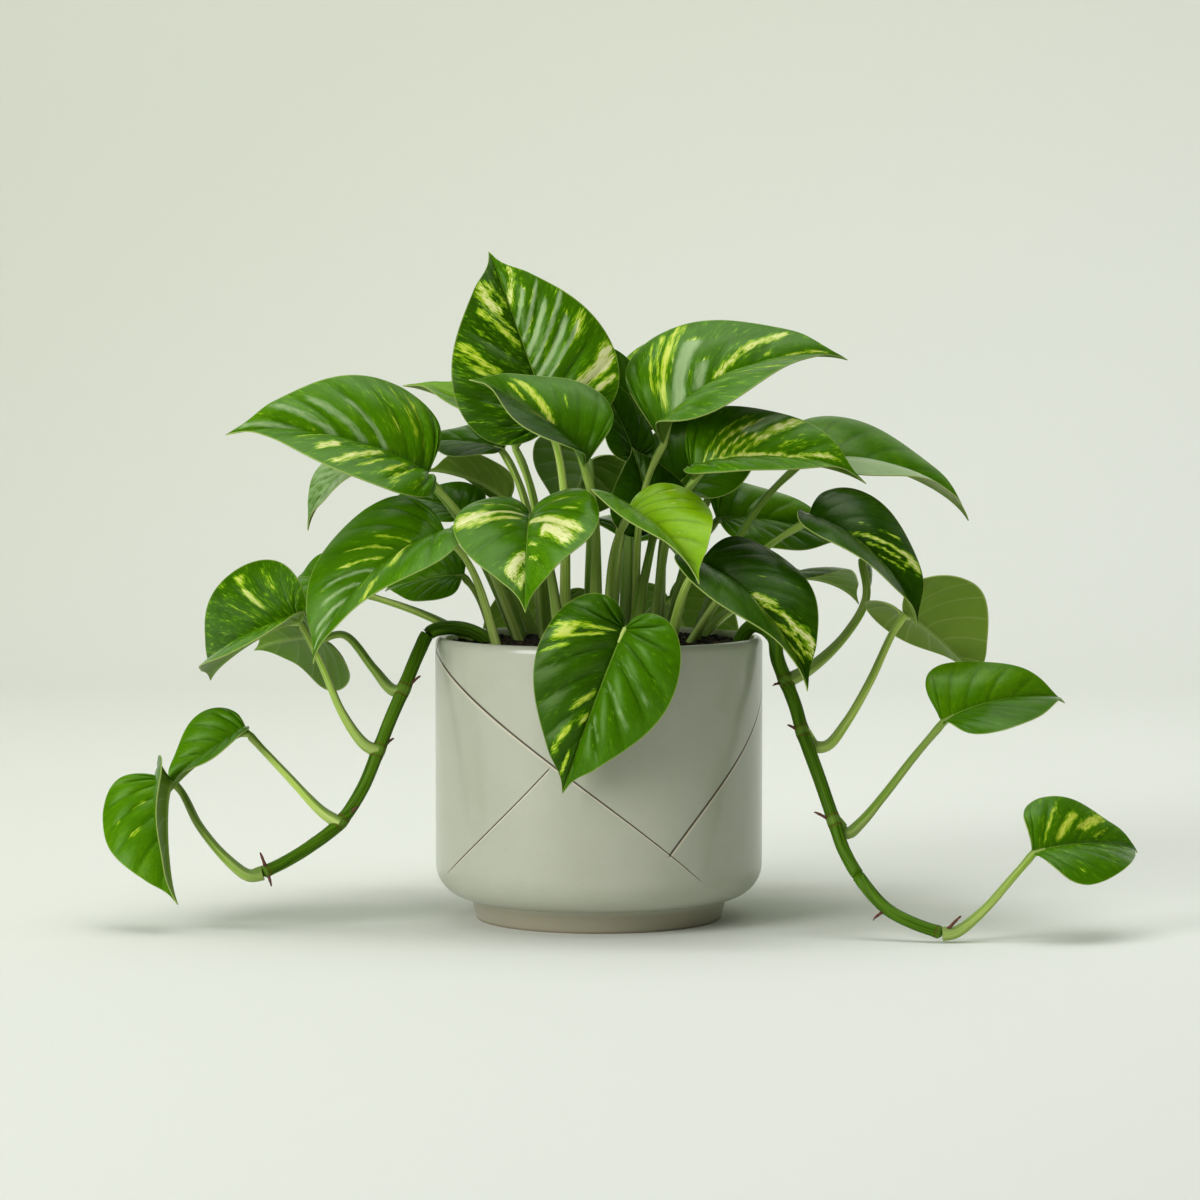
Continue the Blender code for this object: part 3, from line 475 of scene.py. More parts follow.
# How each blade looks: how bright its left and right halves are, seen with the tip up, partly the leaf's own
# green and partly painted light and shade on that half, how much of it is flecked, how deeply it is quilted,
# and the streaks on its left half and on its right. Each streak, all in hundredths: its place along the
# margin at the midrib and at the margin, from where to where across, its width, its strength and its tint,
# from 0 for yellow over 100 for cream to 200 for a silvery sheen, which is a painted sheen of reflected
# light.
LOOKS = {
    "top_left": (0.12, 0.34, 0.5, 1.6, (
        (74.5, 77, 5, 85, 1.8, 95, 15), (80, 82, 40, 100, 3.9, 95, 80), (79, 80, 5, 50, 1.5, 85, 30),
        (85, 86, 20, 90, 1.5, 80, 30), (55.5, 63, 45, 100, 2, 105, 10), (52, 59, 55, 100, 1.4, 90, 10),
        (69, 70, 30, 80, 0.9, 40, 0),
    ), (
        (86.5, 87, 0, 100, 2.4, 90, 90), (81, 82.5, 0, 75, 1.4, 100, 190),
        (76.5, 78, 0, 100, 1.2, 90, 200), (72, 73.5, 0, 80, 1.7, 110, 200),
        (67.5, 69, 0, 100, 1.3, 95, 200), (63, 64.5, 0, 80, 1.7, 110, 200),
        (58.5, 60, 0, 90, 1.2, 90, 200), (43, 45, 25, 100, 5, 115, 100), (37, 38, 55, 95, 2.6, 100, 90),
        (57, 60, 72, 100, 2.4, 90, 70),
    )),
    "top_front": (0, 0.33, 0.24, 0.5, (), (
        (69, 80, 0, 85, 3.6, 115, 15), (80, 84, 20, 75, 1.6, 90, 5), (60, 60, 40, 70, 1.2, 60, 0),
    )),
    "top_right": (0.4, 0.42, 0.46, 0.7, (
        (49, 50, 10, 100, 2.1, 100, 15), (46.5, 46, 30, 95, 1.3, 90, 10), (44, 43, 30, 90, 1.3, 75, 0),
        (51.5, 52, 45, 100, 1.3, 80, 10), (56, 58, 0, 75, 4.2, 100, 200), (65, 64, 0, 40, 3.1, 80, 200),
        (70.5, 81, 2, 92, 2.6, 110, 65), (87, 95, 3, 80, 2.3, 100, 25), (82, 83, 20, 45, 0.8, 80, 20),
    ), (
        (62, 66, 15, 100, 1, 75, 20), (70, 74, 30, 100, 1, 70, 20), (58, 60, 30, 90, 0.8, 60, 10),
    )),
    "top_rear": (0.66, 0.66, 0.65, 1, (
        (47, 47, 50, 100, 3.3, 80, 20), (56, 56, 50, 100, 2.6, 90, 20), (64, 64, 50, 100, 2.6, 80, 20),
    )),
    "top_middle": (0.22, 0.22, 0, 0.8),
    "middle_dark": (0.1, 0.14, 0, 0.6),
    "middle_low": (0, 0.02, 0, 0.6),
    "left_upper": (0.46, 0.52, 0.5, 1.4, (
        (71, 69, 50, 88, 2, 100, 80), (60, 61.5, 30, 95, 2, 105, 80), (55.5, 56, 50, 85, 1.5, 85, 40),
        (50, 50, 40, 80, 1.4, 90, 20), (46, 46, 30, 90, 1.4, 90, 20), (77, 77, 30, 80, 1, 80, 40),
        (65, 65, 20, 60, 1, 60, 20),
    ), (
        (47, 48, 30, 90, 1.4, 75, 10), (42, 43, 20, 90, 1.4, 75, 10), (54, 56, 30, 80, 1.4, 60, 20),
        (87, 93, 0, 100, 4, 72, 200), (78, 82, 0, 100, 3, 66, 200), (70, 74, 0, 90, 2.6, 62, 200),
        (63, 66, 0, 80, 2, 60, 200),
    )),
    "left_drooping": (0.4, 0.4, 0.2, 0.8, (
        (62, 62, 0, 110, 60, 60, 200),
    ), (
        (62, 62, 0, 110, 60, 60, 200),
    )),
    "left_inner": (0.6, 0.75, 0.25, 0.6, (), (
        (72, 74, 50, 80, 1.3, 90, 90), (66, 70, 50, 90, 1.3, 70, 90),
    )),
    "left_dark": (0.16, 0.16, 0.15, 0.5),
    "left_rear": (0.8, 0.7, 0.25, 1),
    "left_rear_low": (0.42, 0.42, 0.15, 0.6),
    "left_lower": (0.46, 0.44, 0.32, 0.6, (
        (60, 62, 10, 75, 2.3, 100, 30), (66, 67, 70, 100, 2.3, 100, 10), (72, 74, 20, 90, 0.8, 50, 10),
    ), (
        (59.7, 60, 3, 50, 0.9, 110, 10), (70, 74, 5, 70, 1, 90, 40), (75, 78, 0, 80, 1.4, 75, 200),
        (80, 84, 0, 80, 1.4, 75, 200), (85, 90, 0, 90, 1.8, 80, 200), (91, 95, 0, 90, 2.2, 80, 200),
        (65, 66, 10, 70, 1, 90, 40),
    )),
    "left_low": (0.5, 0.5, 0.15, 0.6),
    "left_far": (0.45, 0.45, 0.25, 0.6),
    "front_left": (0.5, 0.42, 0.38, 0.9, (
        (57, 56, 0, 90, 4, 115, 80), (64, 63, 30, 90, 6.2, 120, 100), (74, 74, 5, 40, 1.8, 95, 90),
        (45, 45, 50, 80, 1.2, 75, 70), (80, 80, 15, 50, 1.6, 85, 80), (36, 35, 30, 80, 1, 75, 30),
    ), (
        (47, 43, 5, 95, 3.6, 115, 75), (46, 45, 50, 100, 6.8, 120, 100), (53, 50, 10, 85, 1.8, 95, 40),
        (80, 84, 2, 85, 5, 115, 100), (88, 90, 0, 70, 3, 100, 80), (34, 32, 10, 90, 1.2, 85, 40),
        (38, 36, 10, 70, 1.2, 80, 40), (60, 60, 25, 45, 1.2, 80, 80),
    )),
    "front_right": (0.88, 0.58, 0.32, 0.35, (
        (53, 53, 45, 65, 1, 90, 100), (37, 38, 50, 90, 1.3, 80, 90), (34, 34, 40, 90, 1, 80, 80),
        (60, 60, 30, 50, 1, 70, 90), (76, 78, 20, 60, 2.6, 50, 100), (67, 67, 40, 60, 0.8, 70, 90),
    )),
    "front_low": (0.36, 0.14, 0.28, 1.7, (
        (56, 54, 10, 90, 2.2, 36, 200), (67, 66, 10, 90, 2.6, 40, 200), (78, 78, 10, 80, 2.6, 36, 200),
    ), (
        (40, 38.5, 10, 95, 1.4, 95, 5), (44, 42, 20, 90, 1.8, 85, 0), (42, 40.5, 60, 88, 3.9, 95, 35),
        (47, 47, 60, 95, 1.6, 75, 0), (72, 74.5, 5, 55, 1.8, 95, 10), (76, 82, 45, 95, 2.3, 95, 10),
        (80, 81, 5, 35, 1.8, 90, 20), (85, 90, 50, 100, 2.3, 90, 10),
    )),
    "right_upper": (0.42, 0.5, 0.48, 0.8, (
        (46, 54, 0, 90, 1.3, 100, 20), (51, 60, 0, 85, 1.4, 105, 35), (56, 64, 0, 70, 1.3, 105, 40),
        (60, 67, 0, 50, 1.2, 100, 30), (64, 71, 2, 50, 1.2, 95, 20), (60, 60, 45, 100, 4, 90, 200),
        (67, 66, 35, 100, 3, 105, 90), (48, 250, 2, 24, 13, 120, 45), (79, 89, 2, 80, 2.2, 105, 70),
        (74, 76, 30, 60, 1.2, 80, 30),
    )),
    "right_inner": (0.24, 0.26, 0.1, 0.5),
    "right_far": (0.5, 0.45, 0.1, 0.3, (
        (56, 56, 30, 45, 0.8, 60, 30),
    ), (
        (62, 62, 0, 110, 60, 100, 200),
    )),
    "right_middle": (0.04, 0.12, 0.05, 0.3, (
        (66, 77, 2, 78, 1.8, 100, 50), (70, 76, 70, 100, 4.4, 105, 80), (71, 82, 5, 75, 1.3, 90, 30),
        (62, 67, 45, 90, 1.2, 75, 30), (77, 85, 5, 60, 1.3, 85, 20), (60, 64, 30, 50, 0.9, 60, 20),
    )),
    "right_lower": (0.06, 0.16, 0.05, 0.35, (
        (72, 79, 2, 40, 2.6, 100, 80), (78, 83, 35, 100, 4.2, 110, 100), (76, 84, 2, 60, 1.4, 100, 20),
        (83, 88, 2, 90, 1.8, 100, 15), (89, 92, 0, 70, 1.6, 90, 20), (60, 65, 30, 80, 0.8, 50, 10),
    ), (
        (79, 84, 10, 60, 1, 75, 10), (70, 74, 30, 70, 0.8, 50, 10),
    )),
    "right_rear": (0.6, 0.56, 0.1, 0.9),
    "right_turned": (0.45, 0.45, 0.15, 0.6),
    "back_low_left": (0.5, 0.4, 0.57, 1),
    "back_low_right": (0.35, 0.45, 0.59, 0.9),
    "back_left": (0.5, 0.45, 0.55, 0.9),
    "back_top": (0.3, 0.35, 0.5, 1),
    "back_middle": (0.4, 0.4, 0.53, 0.9),
    "back_right": (0.45, 0.5, 0.59, 0.9),
    "vine_left_0": (0.3, 0.3, 0.15, 0.6),
    "vine_left_1": (0.5, 0.3, 0.55, 0.6, (), (
        (51, 50, 25, 75, 2.6, 105, 70), (50, 47, 70, 95, 3.6, 95, 30), (60, 60, 30, 80, 1.3, 70, 20),
        (36, 36, 50, 80, 1.3, 80, 30),
    )),
    "vine_left_2": (0.42, 0.5, 0.17, 0.8),
    "vine_left_3": (0.44, 0.54, 0.17, 0.9, (), (
        (53, 53, 30, 60, 0.8, 70, 60), (54, 54, 70, 85, 1, 80, 10), (66, 64, 45, 75, 1.2, 80, 10),
    )),
    "vine_right_0": (0.4, 0.4, 0.25, 0.6),
    "vine_right_1": (0.9, 0.9, 0.15, 0.6),
    "vine_right_2": (0.56, 0.34, 0.15, 0.4),
    "vine_right_3": (0.48, 0.44, 0.5, 0.5, (
        (58, 62, 10, 75, 3.6, 100, 5), (66, 72, 40, 100, 4.6, 105, 10), (48, 51, 10, 80, 2, 85, 10),
        (76, 80, 20, 70, 1.6, 80, 10),
    ), (
        (46, 46, 50, 90, 0.9, 70, 20),
    )),
}


def metres(millimetres):
    """Lengths or points in metres."""
    return np.array(millimetres) / 1000


def unit(vector):
    """The vector at length one."""
    return np.asarray(vector, float) / np.linalg.norm(vector, axis=-1, keepdims=True)


def bezier(points, share):
    """(1-q)^3 a + 3(1-q)^2 q b + 3(1-q) q^2 c + q^3 d."""
    q = np.asarray(share, float)[..., None]
    a, b, c, d = np.asarray(points, float)
    return (1 - q) ** 3 * a + 3 * (1 - q) ** 2 * q * b + 3 * (1 - q) * q**2 * c + q**3 * d


def margin(along, lobes):
    """Half the outline of a blade of length one, across and up from its base: a Bezier curve round the lobe,
    then one up the flank, which is pinched to a drip tip: its width is times 1 - drip*smooth(0 to 1)."""
    lobe = (1 - lobes) * np.array(ROUND_LOBE) + lobes * np.array(DEEP_LOBE)
    low = bezier(lobe, np.clip(along / LOBE_SHARE, 0, 1))
    high = bezier(FLANK, np.clip((along - LOBE_SHARE) / (1 - LOBE_SHARE), 0, 1))
    pinch = np.clip((high[..., 1] - DRIP_START) / DRIP_REACH, 0, 1)
    high[..., 0] *= 1 - DRIP_TIP * pinch**2 * (3 - 2 * pinch)
    return np.where((along < LOBE_SHARE)[..., None], low, high)


def midrib(up, bend):
    """The midrib in its own plane as a complex line, its chord one long, and its heading. The heading turns
    evenly by the bend, and dips at the tip; the line is its running sum."""
    u = np.linspace(-BEHIND_BASE, 1, MIDRIB_STEPS)
    slope = -np.radians(bend) * u - np.radians(TIP_CURL) * np.clip(1 - (1 - u) / TIP_SHARE, 0, 1) ** 2
    line = np.concatenate([[0], np.cumsum(np.exp(1j * (slope[1:] + slope[:-1]) / 2))]) * (u[1] - u[0])
    line -= np.interp(0, u, line)
    line /= line[-1]
    heading = np.gradient(line, u)
    return np.interp(up, u, line), np.interp(up, u, heading / abs(heading))


def blade_surface(w, t, base, tip, roll, fold, width, bend, lobes, funnel):
    """The blade's middle surface at w along the margin and t across, -1 at the left margin and 1 at the
    right, with how far it is from the midrib in metres, its vein's station and the upper side's direction.

    Veins leave the midrib at station ((w-first)/(1-first))^crowding and sweep forward to the margin. Each
    half stands up from the arched midrib by its fold, flattening outwards, with a slow wave at the margin.
    Round the base the blade dips to its stalk like a funnel, by depth*exp(-distance/reach), and the reach
    grows with the depth."""
    side, t = np.where(t < 0, -1, 1), abs(t)
    chord = tip - base
    length = np.linalg.norm(chord)
    chord = chord / length
    front = np.array((0.0, -1.0, 0.0))
    front = unit(front - front.dot(chord) * chord)
    top = np.cross(front, chord)
    top = -top if top[2] < 0 else top
    face = np.cos(np.radians(roll)) * front + np.sin(np.radians(roll)) * top
    right = np.cross(chord, face)

    edge = margin(w, lobes)
    station = np.clip((w - FIRST_VEIN) / (1 - FIRST_VEIN), 0, 1) ** VEIN_CROWDING
    across = edge[..., 0] * width / WIDEST * t
    up = station + (edge[..., 1] - station) * t**VEIN_SWEEP
    line, heading = midrib(up, bend)
    normal = -heading.imag[..., None] * chord + heading.real[..., None] * face

    stand = np.radians(fold) + np.radians(CUP) * (1 - np.clip(across / (FLANK[0][0] * width / WIDEST), 0, 1))
    fade = t**2 * np.clip(4 * w, 0, 1) * np.clip(4 * (1 - w), 0, 1)
    phase = WAVES * w + WAVE_SIDES * side + WAVES_PER_METRE * base[0]
    wave = WAVE_HEIGHT * fade * np.sin(2 * np.pi * phase)
    depth = funnel / 100
    dip = depth * length * np.exp(-np.hypot(across, up) / (FUNNEL_REACH + FUNNEL_FLARE * depth))
    along_chord = (line.real * length)[..., None] * chord + (line.imag * length)[..., None] * face
    out = side[..., None] * (across * length * np.cos(stand))[..., None] * right
    lift = (across * length * np.sin(stand) + wave - dip)[..., None] * normal
    return base + along_chord + out + lift, across * length, station, normal


def facing(points):
    """The normals of a grid of points: the sum of its triangles' normals at each place."""
    flat = points.reshape(-1, 3)
    triangles = woven(*points.shape[:2])
    whole, index = np.unique(np.round(flat, 7), axis=0, return_inverse=True)
    a, b, c = (flat[triangles[:, k]] for k in range(3))
    turned_out = np.cross(b - a, c - a)
    total = np.zeros_like(whole)
    np.add.at(total, index.reshape(-1)[triangles], turned_out[:, None])
    return unit(total + 1e-15)[index.reshape(-1)].reshape(points.shape)


def blade(leaf, number, look):
    """A blade as a closed band of cross-sections from base to tip, each over the upper face and back under
    the lower. Between its veins it puffs up by quilt*|sin(pi*veins*w)|, and the midrib is a groove above and
    a ridge below. Its vein map is w plus its number, and t. Its streak mark is the share of flecks less what
    keeps an unflecked blade clear, or where a streak runs, and w slants from one place to the other, what
    rises above that: (strength + clear)*exp(-((w-place)/width)^2) - clear."""
    left_tone_and_shade, right_tone_and_shade, fleck, quilted, *halves = look
    w, t = np.meshgrid(ALONG, np.concatenate([-ACROSS[:0:-1], ACROSS]), indexing="ij")
    middle, across, station, above = blade_surface(w, t, *leaf)
    normal = facing(middle)
    normal = normal * np.sign((normal * above).sum())
    bulge = 4 * abs(t) * (1 - abs(t)) * np.clip(5 * (1 - w), 0, 1) * np.clip(6 * w, 0, 1)
    quilt = QUILT * quilted * bulge * abs(np.sin(np.pi * (VEINS * w + VEIN_SHIFT * np.sign(t)))) ** 0.7
    near = np.exp(-((across / (MIDRIB_REACH * (1 - 0.55 * station))) ** 2))
    upper = quilt + BLADE_THICKNESS / 2 - MIDRIB_GROOVE * near * (1 - 0.6 * station)
    lower = quilt * 0.8 - BLADE_THICKNESS / 2 - MIDRIB_RIDGE * near * (1 - 0.85 * station)
    faces = [middle + upper[..., None] * normal, (middle + lower[..., None] * normal)[:, ::-1]]

    # The cream mark holds each streak's tint: yellow to cream up to 1, and above that a painted silvery
    # sheen.
    strength, cream = np.full(w.shape, fleck - UNFLECKED), np.zeros(w.shape)
    for is_right, streaks in enumerate(halves):
        for hundredths in streaks:
            inner, outer, first, last, wide, strong, pale = np.array(hundredths) / 100
            here = np.exp(-(((w - inner - (outer - inner) * abs(t)) / wide) ** 2)) * ((t >= 0) == is_right)
            ends = np.clip((abs(t) - first) / 0.08 + 0.5, 0, 1) * np.clip((last - abs(t)) / 0.12 + 0.5, 0, 1)
            here = (strong + UNFLECKED) * here * ends - UNFLECKED
            cream = np.where(here > strength, pale, cream)
            strength = np.maximum(strength, here)
    # Each half's tone is partly the leaf's own green and partly painted light and shade, darker where that
    # half lies in shade.
    tone = left_tone_and_shade + (right_tone_and_shade - left_tone_and_shade) * np.clip(t / 0.04 + 0.5, 0, 1)
    marks = {"vein": np.stack([w + number, t], -1), "rib": across, "streak": strength, "cream": cream,
             "tone": tone, "station": station}
    marks = {mark: np.concatenate([values, values[:, ::-1]], axis=1).reshape(-1, *values.shape[2:])
             for mark, values in marks.items()}
    columns = 2 * w.shape[1]
    column = np.tile(np.tile(np.arange(columns), len(ALONG) - 1), 2)
    under = (column >= columns // 2 - 1).astype(int)
    surface = np.concatenate(faces, axis=1).reshape(-1, 3)
    return surface, woven(len(ALONG), columns, round_columns=True), under, marks


def stalk(path, radii, channel, sheath, number):
    """A channelled profile carried along a path: at angle a it is cos(a)*r*(1+sheath) wide, and sin(a)*r
    high, less channel*sin(a)^3*r on the upper side. Its map is the angle as a share of a turn plus its
    number, and the length along in metres. Its share mark is the length over the whole."""
    tangent = unit(np.gradient(path, axis=0))
    away = (path[-1] - path[0]) * (1, 1, 0)
    upper = (0, 0, 1) - unit(away + (0, 1e-6, 0))
    upper = unit(upper - (upper * tangent).sum(axis=1)[:, None] * tangent)
    across = np.cross(tangent, upper)
    a = 2 * np.pi * np.arange(PETIOLE_SIDES + 1) / PETIOLE_SIDES
    x = np.cos(a) * (radii * (1 + sheath))[:, None]
    y = (np.sin(a) - np.clip(np.sin(a), 0, 1) ** 3 * channel[:, None]) * radii[:, None]
    rings = path[:, None] + x[..., None] * across[:, None] + y[..., None] * upper[:, None]
    rings = np.concatenate([np.broadcast_to(path[:1, None], rings[:1].shape), rings,
                            np.broadcast_to(path[-1:, None], rings[:1].shape)])
    run = np.concatenate([[0], np.cumsum(np.linalg.norm(np.diff(path, axis=0), axis=1))])
    run = run[[0, *range(len(run)), -1]]
    angle, length = np.broadcast_arrays(a / (2 * np.pi) + number, run[:, None])
    marks = {"vein": np.stack([angle, length], -1).reshape(-1, 2), "share": (length / run[-1]).reshape(-1)}
    return rings.reshape(-1, 3), woven(*rings.shape[:2]), 2, marks


def sunk_end(leaf):
    """Where the stalk's thin end lies along the midrib inside the blade."""
    w = FIRST_VEIN + (1 - FIRST_VEIN) * SUNK_STATION ** (1 / VEIN_CROWDING)
    return blade_surface(np.array([w]), np.zeros(1), *leaf)[0]


def blade_foot(leaf):
    """Where the stalk meets the blade."""
    return blade_surface(np.zeros(1), np.zeros(1), *leaf)[0][0]


def crown_stalk(root, leaf, number):
    """The stalk from its hole in the soil: a Bezier curve straight up out of the hole, then over in one arch.
    Its base is a sheath, and it thickens a little to a knee below the blade."""
    foot = np.array((root[0], root[1], SOIL_TOP + SOIL_CROWN))
    base = blade_foot(leaf)
    reach = base - foot
    length = np.linalg.norm(reach)
    rise = unit(reach * (PETIOLE_LEAN, PETIOLE_LEAN, 1))
    outward, tipward = unit(reach * (1, 1, 0)), unit(leaf[1] - base)
    arrive = unit(reach / length + OUTWARD_PULL * outward + TIPWARD_PULL * tipward)
    bend = (foot, foot + LOW_PULL * length * rise, base - HIGH_PULL * length * arrive, base)
    share = np.linspace(0, 1, PETIOLE_RINGS)
    path = np.vstack([foot - PETIOLE_SUNK * rise, bezier(bend, share), sunk_end(leaf)])
    share = np.concatenate([[0], share, [1]])
    radii = PETIOLE_ROOT_RADIUS + (PETIOLE_TOP_RADIUS - PETIOLE_ROOT_RADIUS) * share
    radii *= 1 + KNEE_SWELL * np.exp(-(((share - KNEE_PLACE) / KNEE_REACH) ** 2))
    radii[-1] = PETIOLE_END_RADIUS
    sheath = SHEATH * np.clip(1 - share / SHEATH_SHARE, 0, 1) ** 0.7
    return stalk(path, radii, CHANNEL * np.clip(6 * (1 - share), 0, 1), sheath, number)


def leaf_face(name, roughness, along_scale, across_scale, **constants):
    """A finish for one side of the blades, with its wires: the place on the object, how far across the blade
    it is, how far off the nearest vein from 0 to 0.5, noise in streaks along the veins, finer noise, and the
    marks."""
    material, place = finish(name, roughness, **constants)
    along, across, _ = place.node("UVMap", {"uv_map": "vein"}).parts()
    wave = (along * VEINS + across.math("SIGN") * VEIN_SHIFT).math("FRACT")
    streaky = place.node("CombineXYZ", {}, {0: along * 46, 1: across * 4.5, 2: along * 3}).noise(1.0, 4, 0.62)
    fine = place.node("CombineXYZ", {}, {0: along * along_scale, 1: across * across_scale}).noise(1.0)
    marks = [place.mark(mark) for mark in ("rib", "streak", "cream", "tone", "station")]
    return material, place, across, 0.5 - abs(wave - 0.5), streaky, fine, *marks


def round_face(name, roughness, wrap, apart, along_scale, **constants):
    """A finish for stalks or stems, with its wires: the place on the object, the turn round it, its number,
    and fibres along it, which are noise on a circle that moves on with the length and with the number."""
    material, place = finish(name, roughness, **constants)
    angle, run, _ = place.node("UVMap", {"uv_map": "vein"}).parts()
    turn, number = angle * (2 * np.pi), angle.math("FLOOR")
    lined = place.node("CombineXYZ", {}, {0: turn.math("COSINE") * wrap + number * apart,
                                          1: turn.math("SINE") * wrap, 2: run * along_scale})
    return material, place, turn, number, lined.noise(1.0, 3, 0.6)


upper_face, place, across, off_vein, streaky, fine, rib, streak, cream, tone, station = leaf_face(
    "upper_leaf", 0.3, along_scale=260, across_scale=9, Specular_IOR_Level=0.2,
    Specular_Tint=(0.7, 1, 0.42, 1))
cloudy = place.noise(55, 3, 0.55)
uneven = (cloudy - 0.5) * 0.3 + (fine - 0.5) * 0.3 + (streaky - 0.5) * 0.25
greens = ((0.0, paint(30, 62, 0)), (0.5, paint(68, 118, 2)), (0.75, paint(102, 150, 4)),
          (1.0, paint(138, 182, 12)))
# Painted light and shade: the tone sets how light the green of each half is.
green = tone.node("ValToRGB", {"stops": greens}, {0: tone + uneven})
# Painted shade: the green is darker in the sunken veins, the creases of the quilting.
sunk_vein_shade = (1 - off_vein.rise(0.0, 0.16)) * (1 - abs(across).rise(0.7, 1.0))
# A tint above 1 is a painted silvery sheen, standing in for light reflected off the glossy blade.
painted_sheen_share = cream.rise(1.1, 1.6)
golden = 1 - painted_sheen_share
gold = streak * 0.82 + (streaky - 0.5) * 1.8 + (fine - 0.5) * 1.3 + 0.05
pale = gold.rise(0.56, 1.0) * (cream * 0.85 + 0.08) * golden
painted_sheen = (streak + (streaky - 0.5) * 1.2).rise(0.1, 0.95) * painted_sheen_share * 0.85
rib_line = (1 - rib.rise(0.00016, 0.0005)) * (1 - station * 0.3)
leaf_colour = layers(
    green,
    (sunk_vein_shade * 0.34, 34, 72, 0),
    (gold.rise(0.16, 0.46) * golden * 0.7, 94, 148, 12),
    (gold.rise(0.36, 0.62) * golden, 142, 176, 22),
    (gold.rise(0.56, 0.90) * golden * 0.9, 194, 208, 54),
    (pale.math("MINIMUM", 1), 226, 228, 168),
    (painted_sheen, 158, 184, 130),
    (rib_line * 0.8, 132, 168, 62),
    (abs(across).rise(0.984, 0.996) * 0.4, 170, 190, 90),
)
relief = fine * 0.5 + place.noise(1600) * 0.25 + cloudy * 0.8
coat(upper_face, Base_Color=leaf_colour, Normal=relief.bump(0.35, 0.0004),
     Roughness=cloudy * 0.12 + fine * 0.05 + 0.15)

under_face, place, across, off_vein, streaky, fine, rib, streak, _, tone, station = leaf_face(
    "leaf_underside", 0.5, along_scale=190, across_scale=7, Specular_IOR_Level=0.2,
    Specular_Tint=(0.8, 1, 0.5, 1))
cloudy = place.noise(60, 3, 0.55)
vein_line = 1 - off_vein.rise(0.015, 0.07)
rib_line = (1 - rib.rise(0.0006, 0.0016)) * (1 - station * 0.6)
# The underside's tone is likewise partly its own colour and partly painted light and shade.
dull = layers(
    paint(66, 108, 8),
    (tone + (cloudy - 0.5) * 0.5, 116, 146, 48),
    (vein_line * (tone * 0.3 + 0.08), 156, 174, 96),
    ((streak + (streaky - 0.5) * 2.1).rise(0.45, 0.9) * 0.45, 176, 188, 100),
    (rib_line * 0.7, 150, 176, 92),
    (abs(across).rise(0.975, 0.992) * 0.6, 176, 192, 110),
)
relief = fine * 0.4 + vein_line * 0.6 + place.noise(1500) * 0.2
coat(under_face, Base_Color=dull, Normal=relief.bump(0.4, 0.0004), Roughness=cloudy * 0.15 + 0.42)

stalk_skin, place, turn, number, fibres = round_face(
    "leaf_stalk", 0.38, wrap=3.2, apart=7, along_scale=26, Specular_IOR_Level=0.2,
    Specular_Tint=(0.8, 1, 0.5, 1))
sheath = 1 - place.mark("share").rise(0.0, 0.35)
# Painted shade: the stalk is darker in the channel on its upper side.
channel_shade = turn.math("SINE").rise(0.1, 0.75)
# Some stalks are darker than others by their number: partly their own green and partly painted shade, as on
# stalks that lie in shade.
own_tone_and_shade = (number * 0.618).math("FRACT")
stalk_green = layers(
    paint(142, 184, 48),
    (fibres.rise(0.3, 0.7), 214, 228, 136),
    (sheath * 0.6, 170, 188, 112),
    (own_tone_and_shade * 0.7, 62, 108, 6),
    (channel_shade * 0.55, 56, 96, 8),
)
relief = fibres + place.noise(900) * 0.3
coat(stalk_skin, Base_Color=stalk_green, Normal=relief.bump(0.4, 0.0003), Roughness=fibres * 0.15 + 0.3)

for number, (name, (root, base, tip, *shape)) in enumerate(CROWN.items()):
    leaf = metres(base), metres(tip), *shape
    parts = [blade(leaf, number, LOOKS[name]), crown_stalk(metres(root), leaf, number)]
    piece = skin("pothos_leaf_" + name, parts, [upper_face, under_face, stalk_skin])
    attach(piece, "root")
    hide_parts("leaf_" + name)


# Trailing stems. Two round green stems climb out of the soil and hang over the lip, with a leaf at each
# joint. Short brown aerial roots grow from the joints, which are ringed with old scars.

VINE_PETIOLE_RADIUS, STEM_RADIUS, STEM_END_RADIUS = 0.0024, 0.0037, 0.0030
STEM_RINGS, BETWEEN_JOINTS, JOINT_SWELL, JOINT_REACH, STEM_CHANNEL = 150, 0.94, 0.12, 0.0030, 0.06
VINE_PETIOLE_RINGS, VINE_CHANNEL, VINE_KNEE_SWELL, BRANCH_SWELL, BRANCH_SHARE = 34, 0.6, 0.12, 0.5, 0.45
ROUNDED_END, ROOTLET_RADIUS, ROOTLET_BEND, ROOTLET_RINGS = 0.6, 0.0008, 0.0012, 9
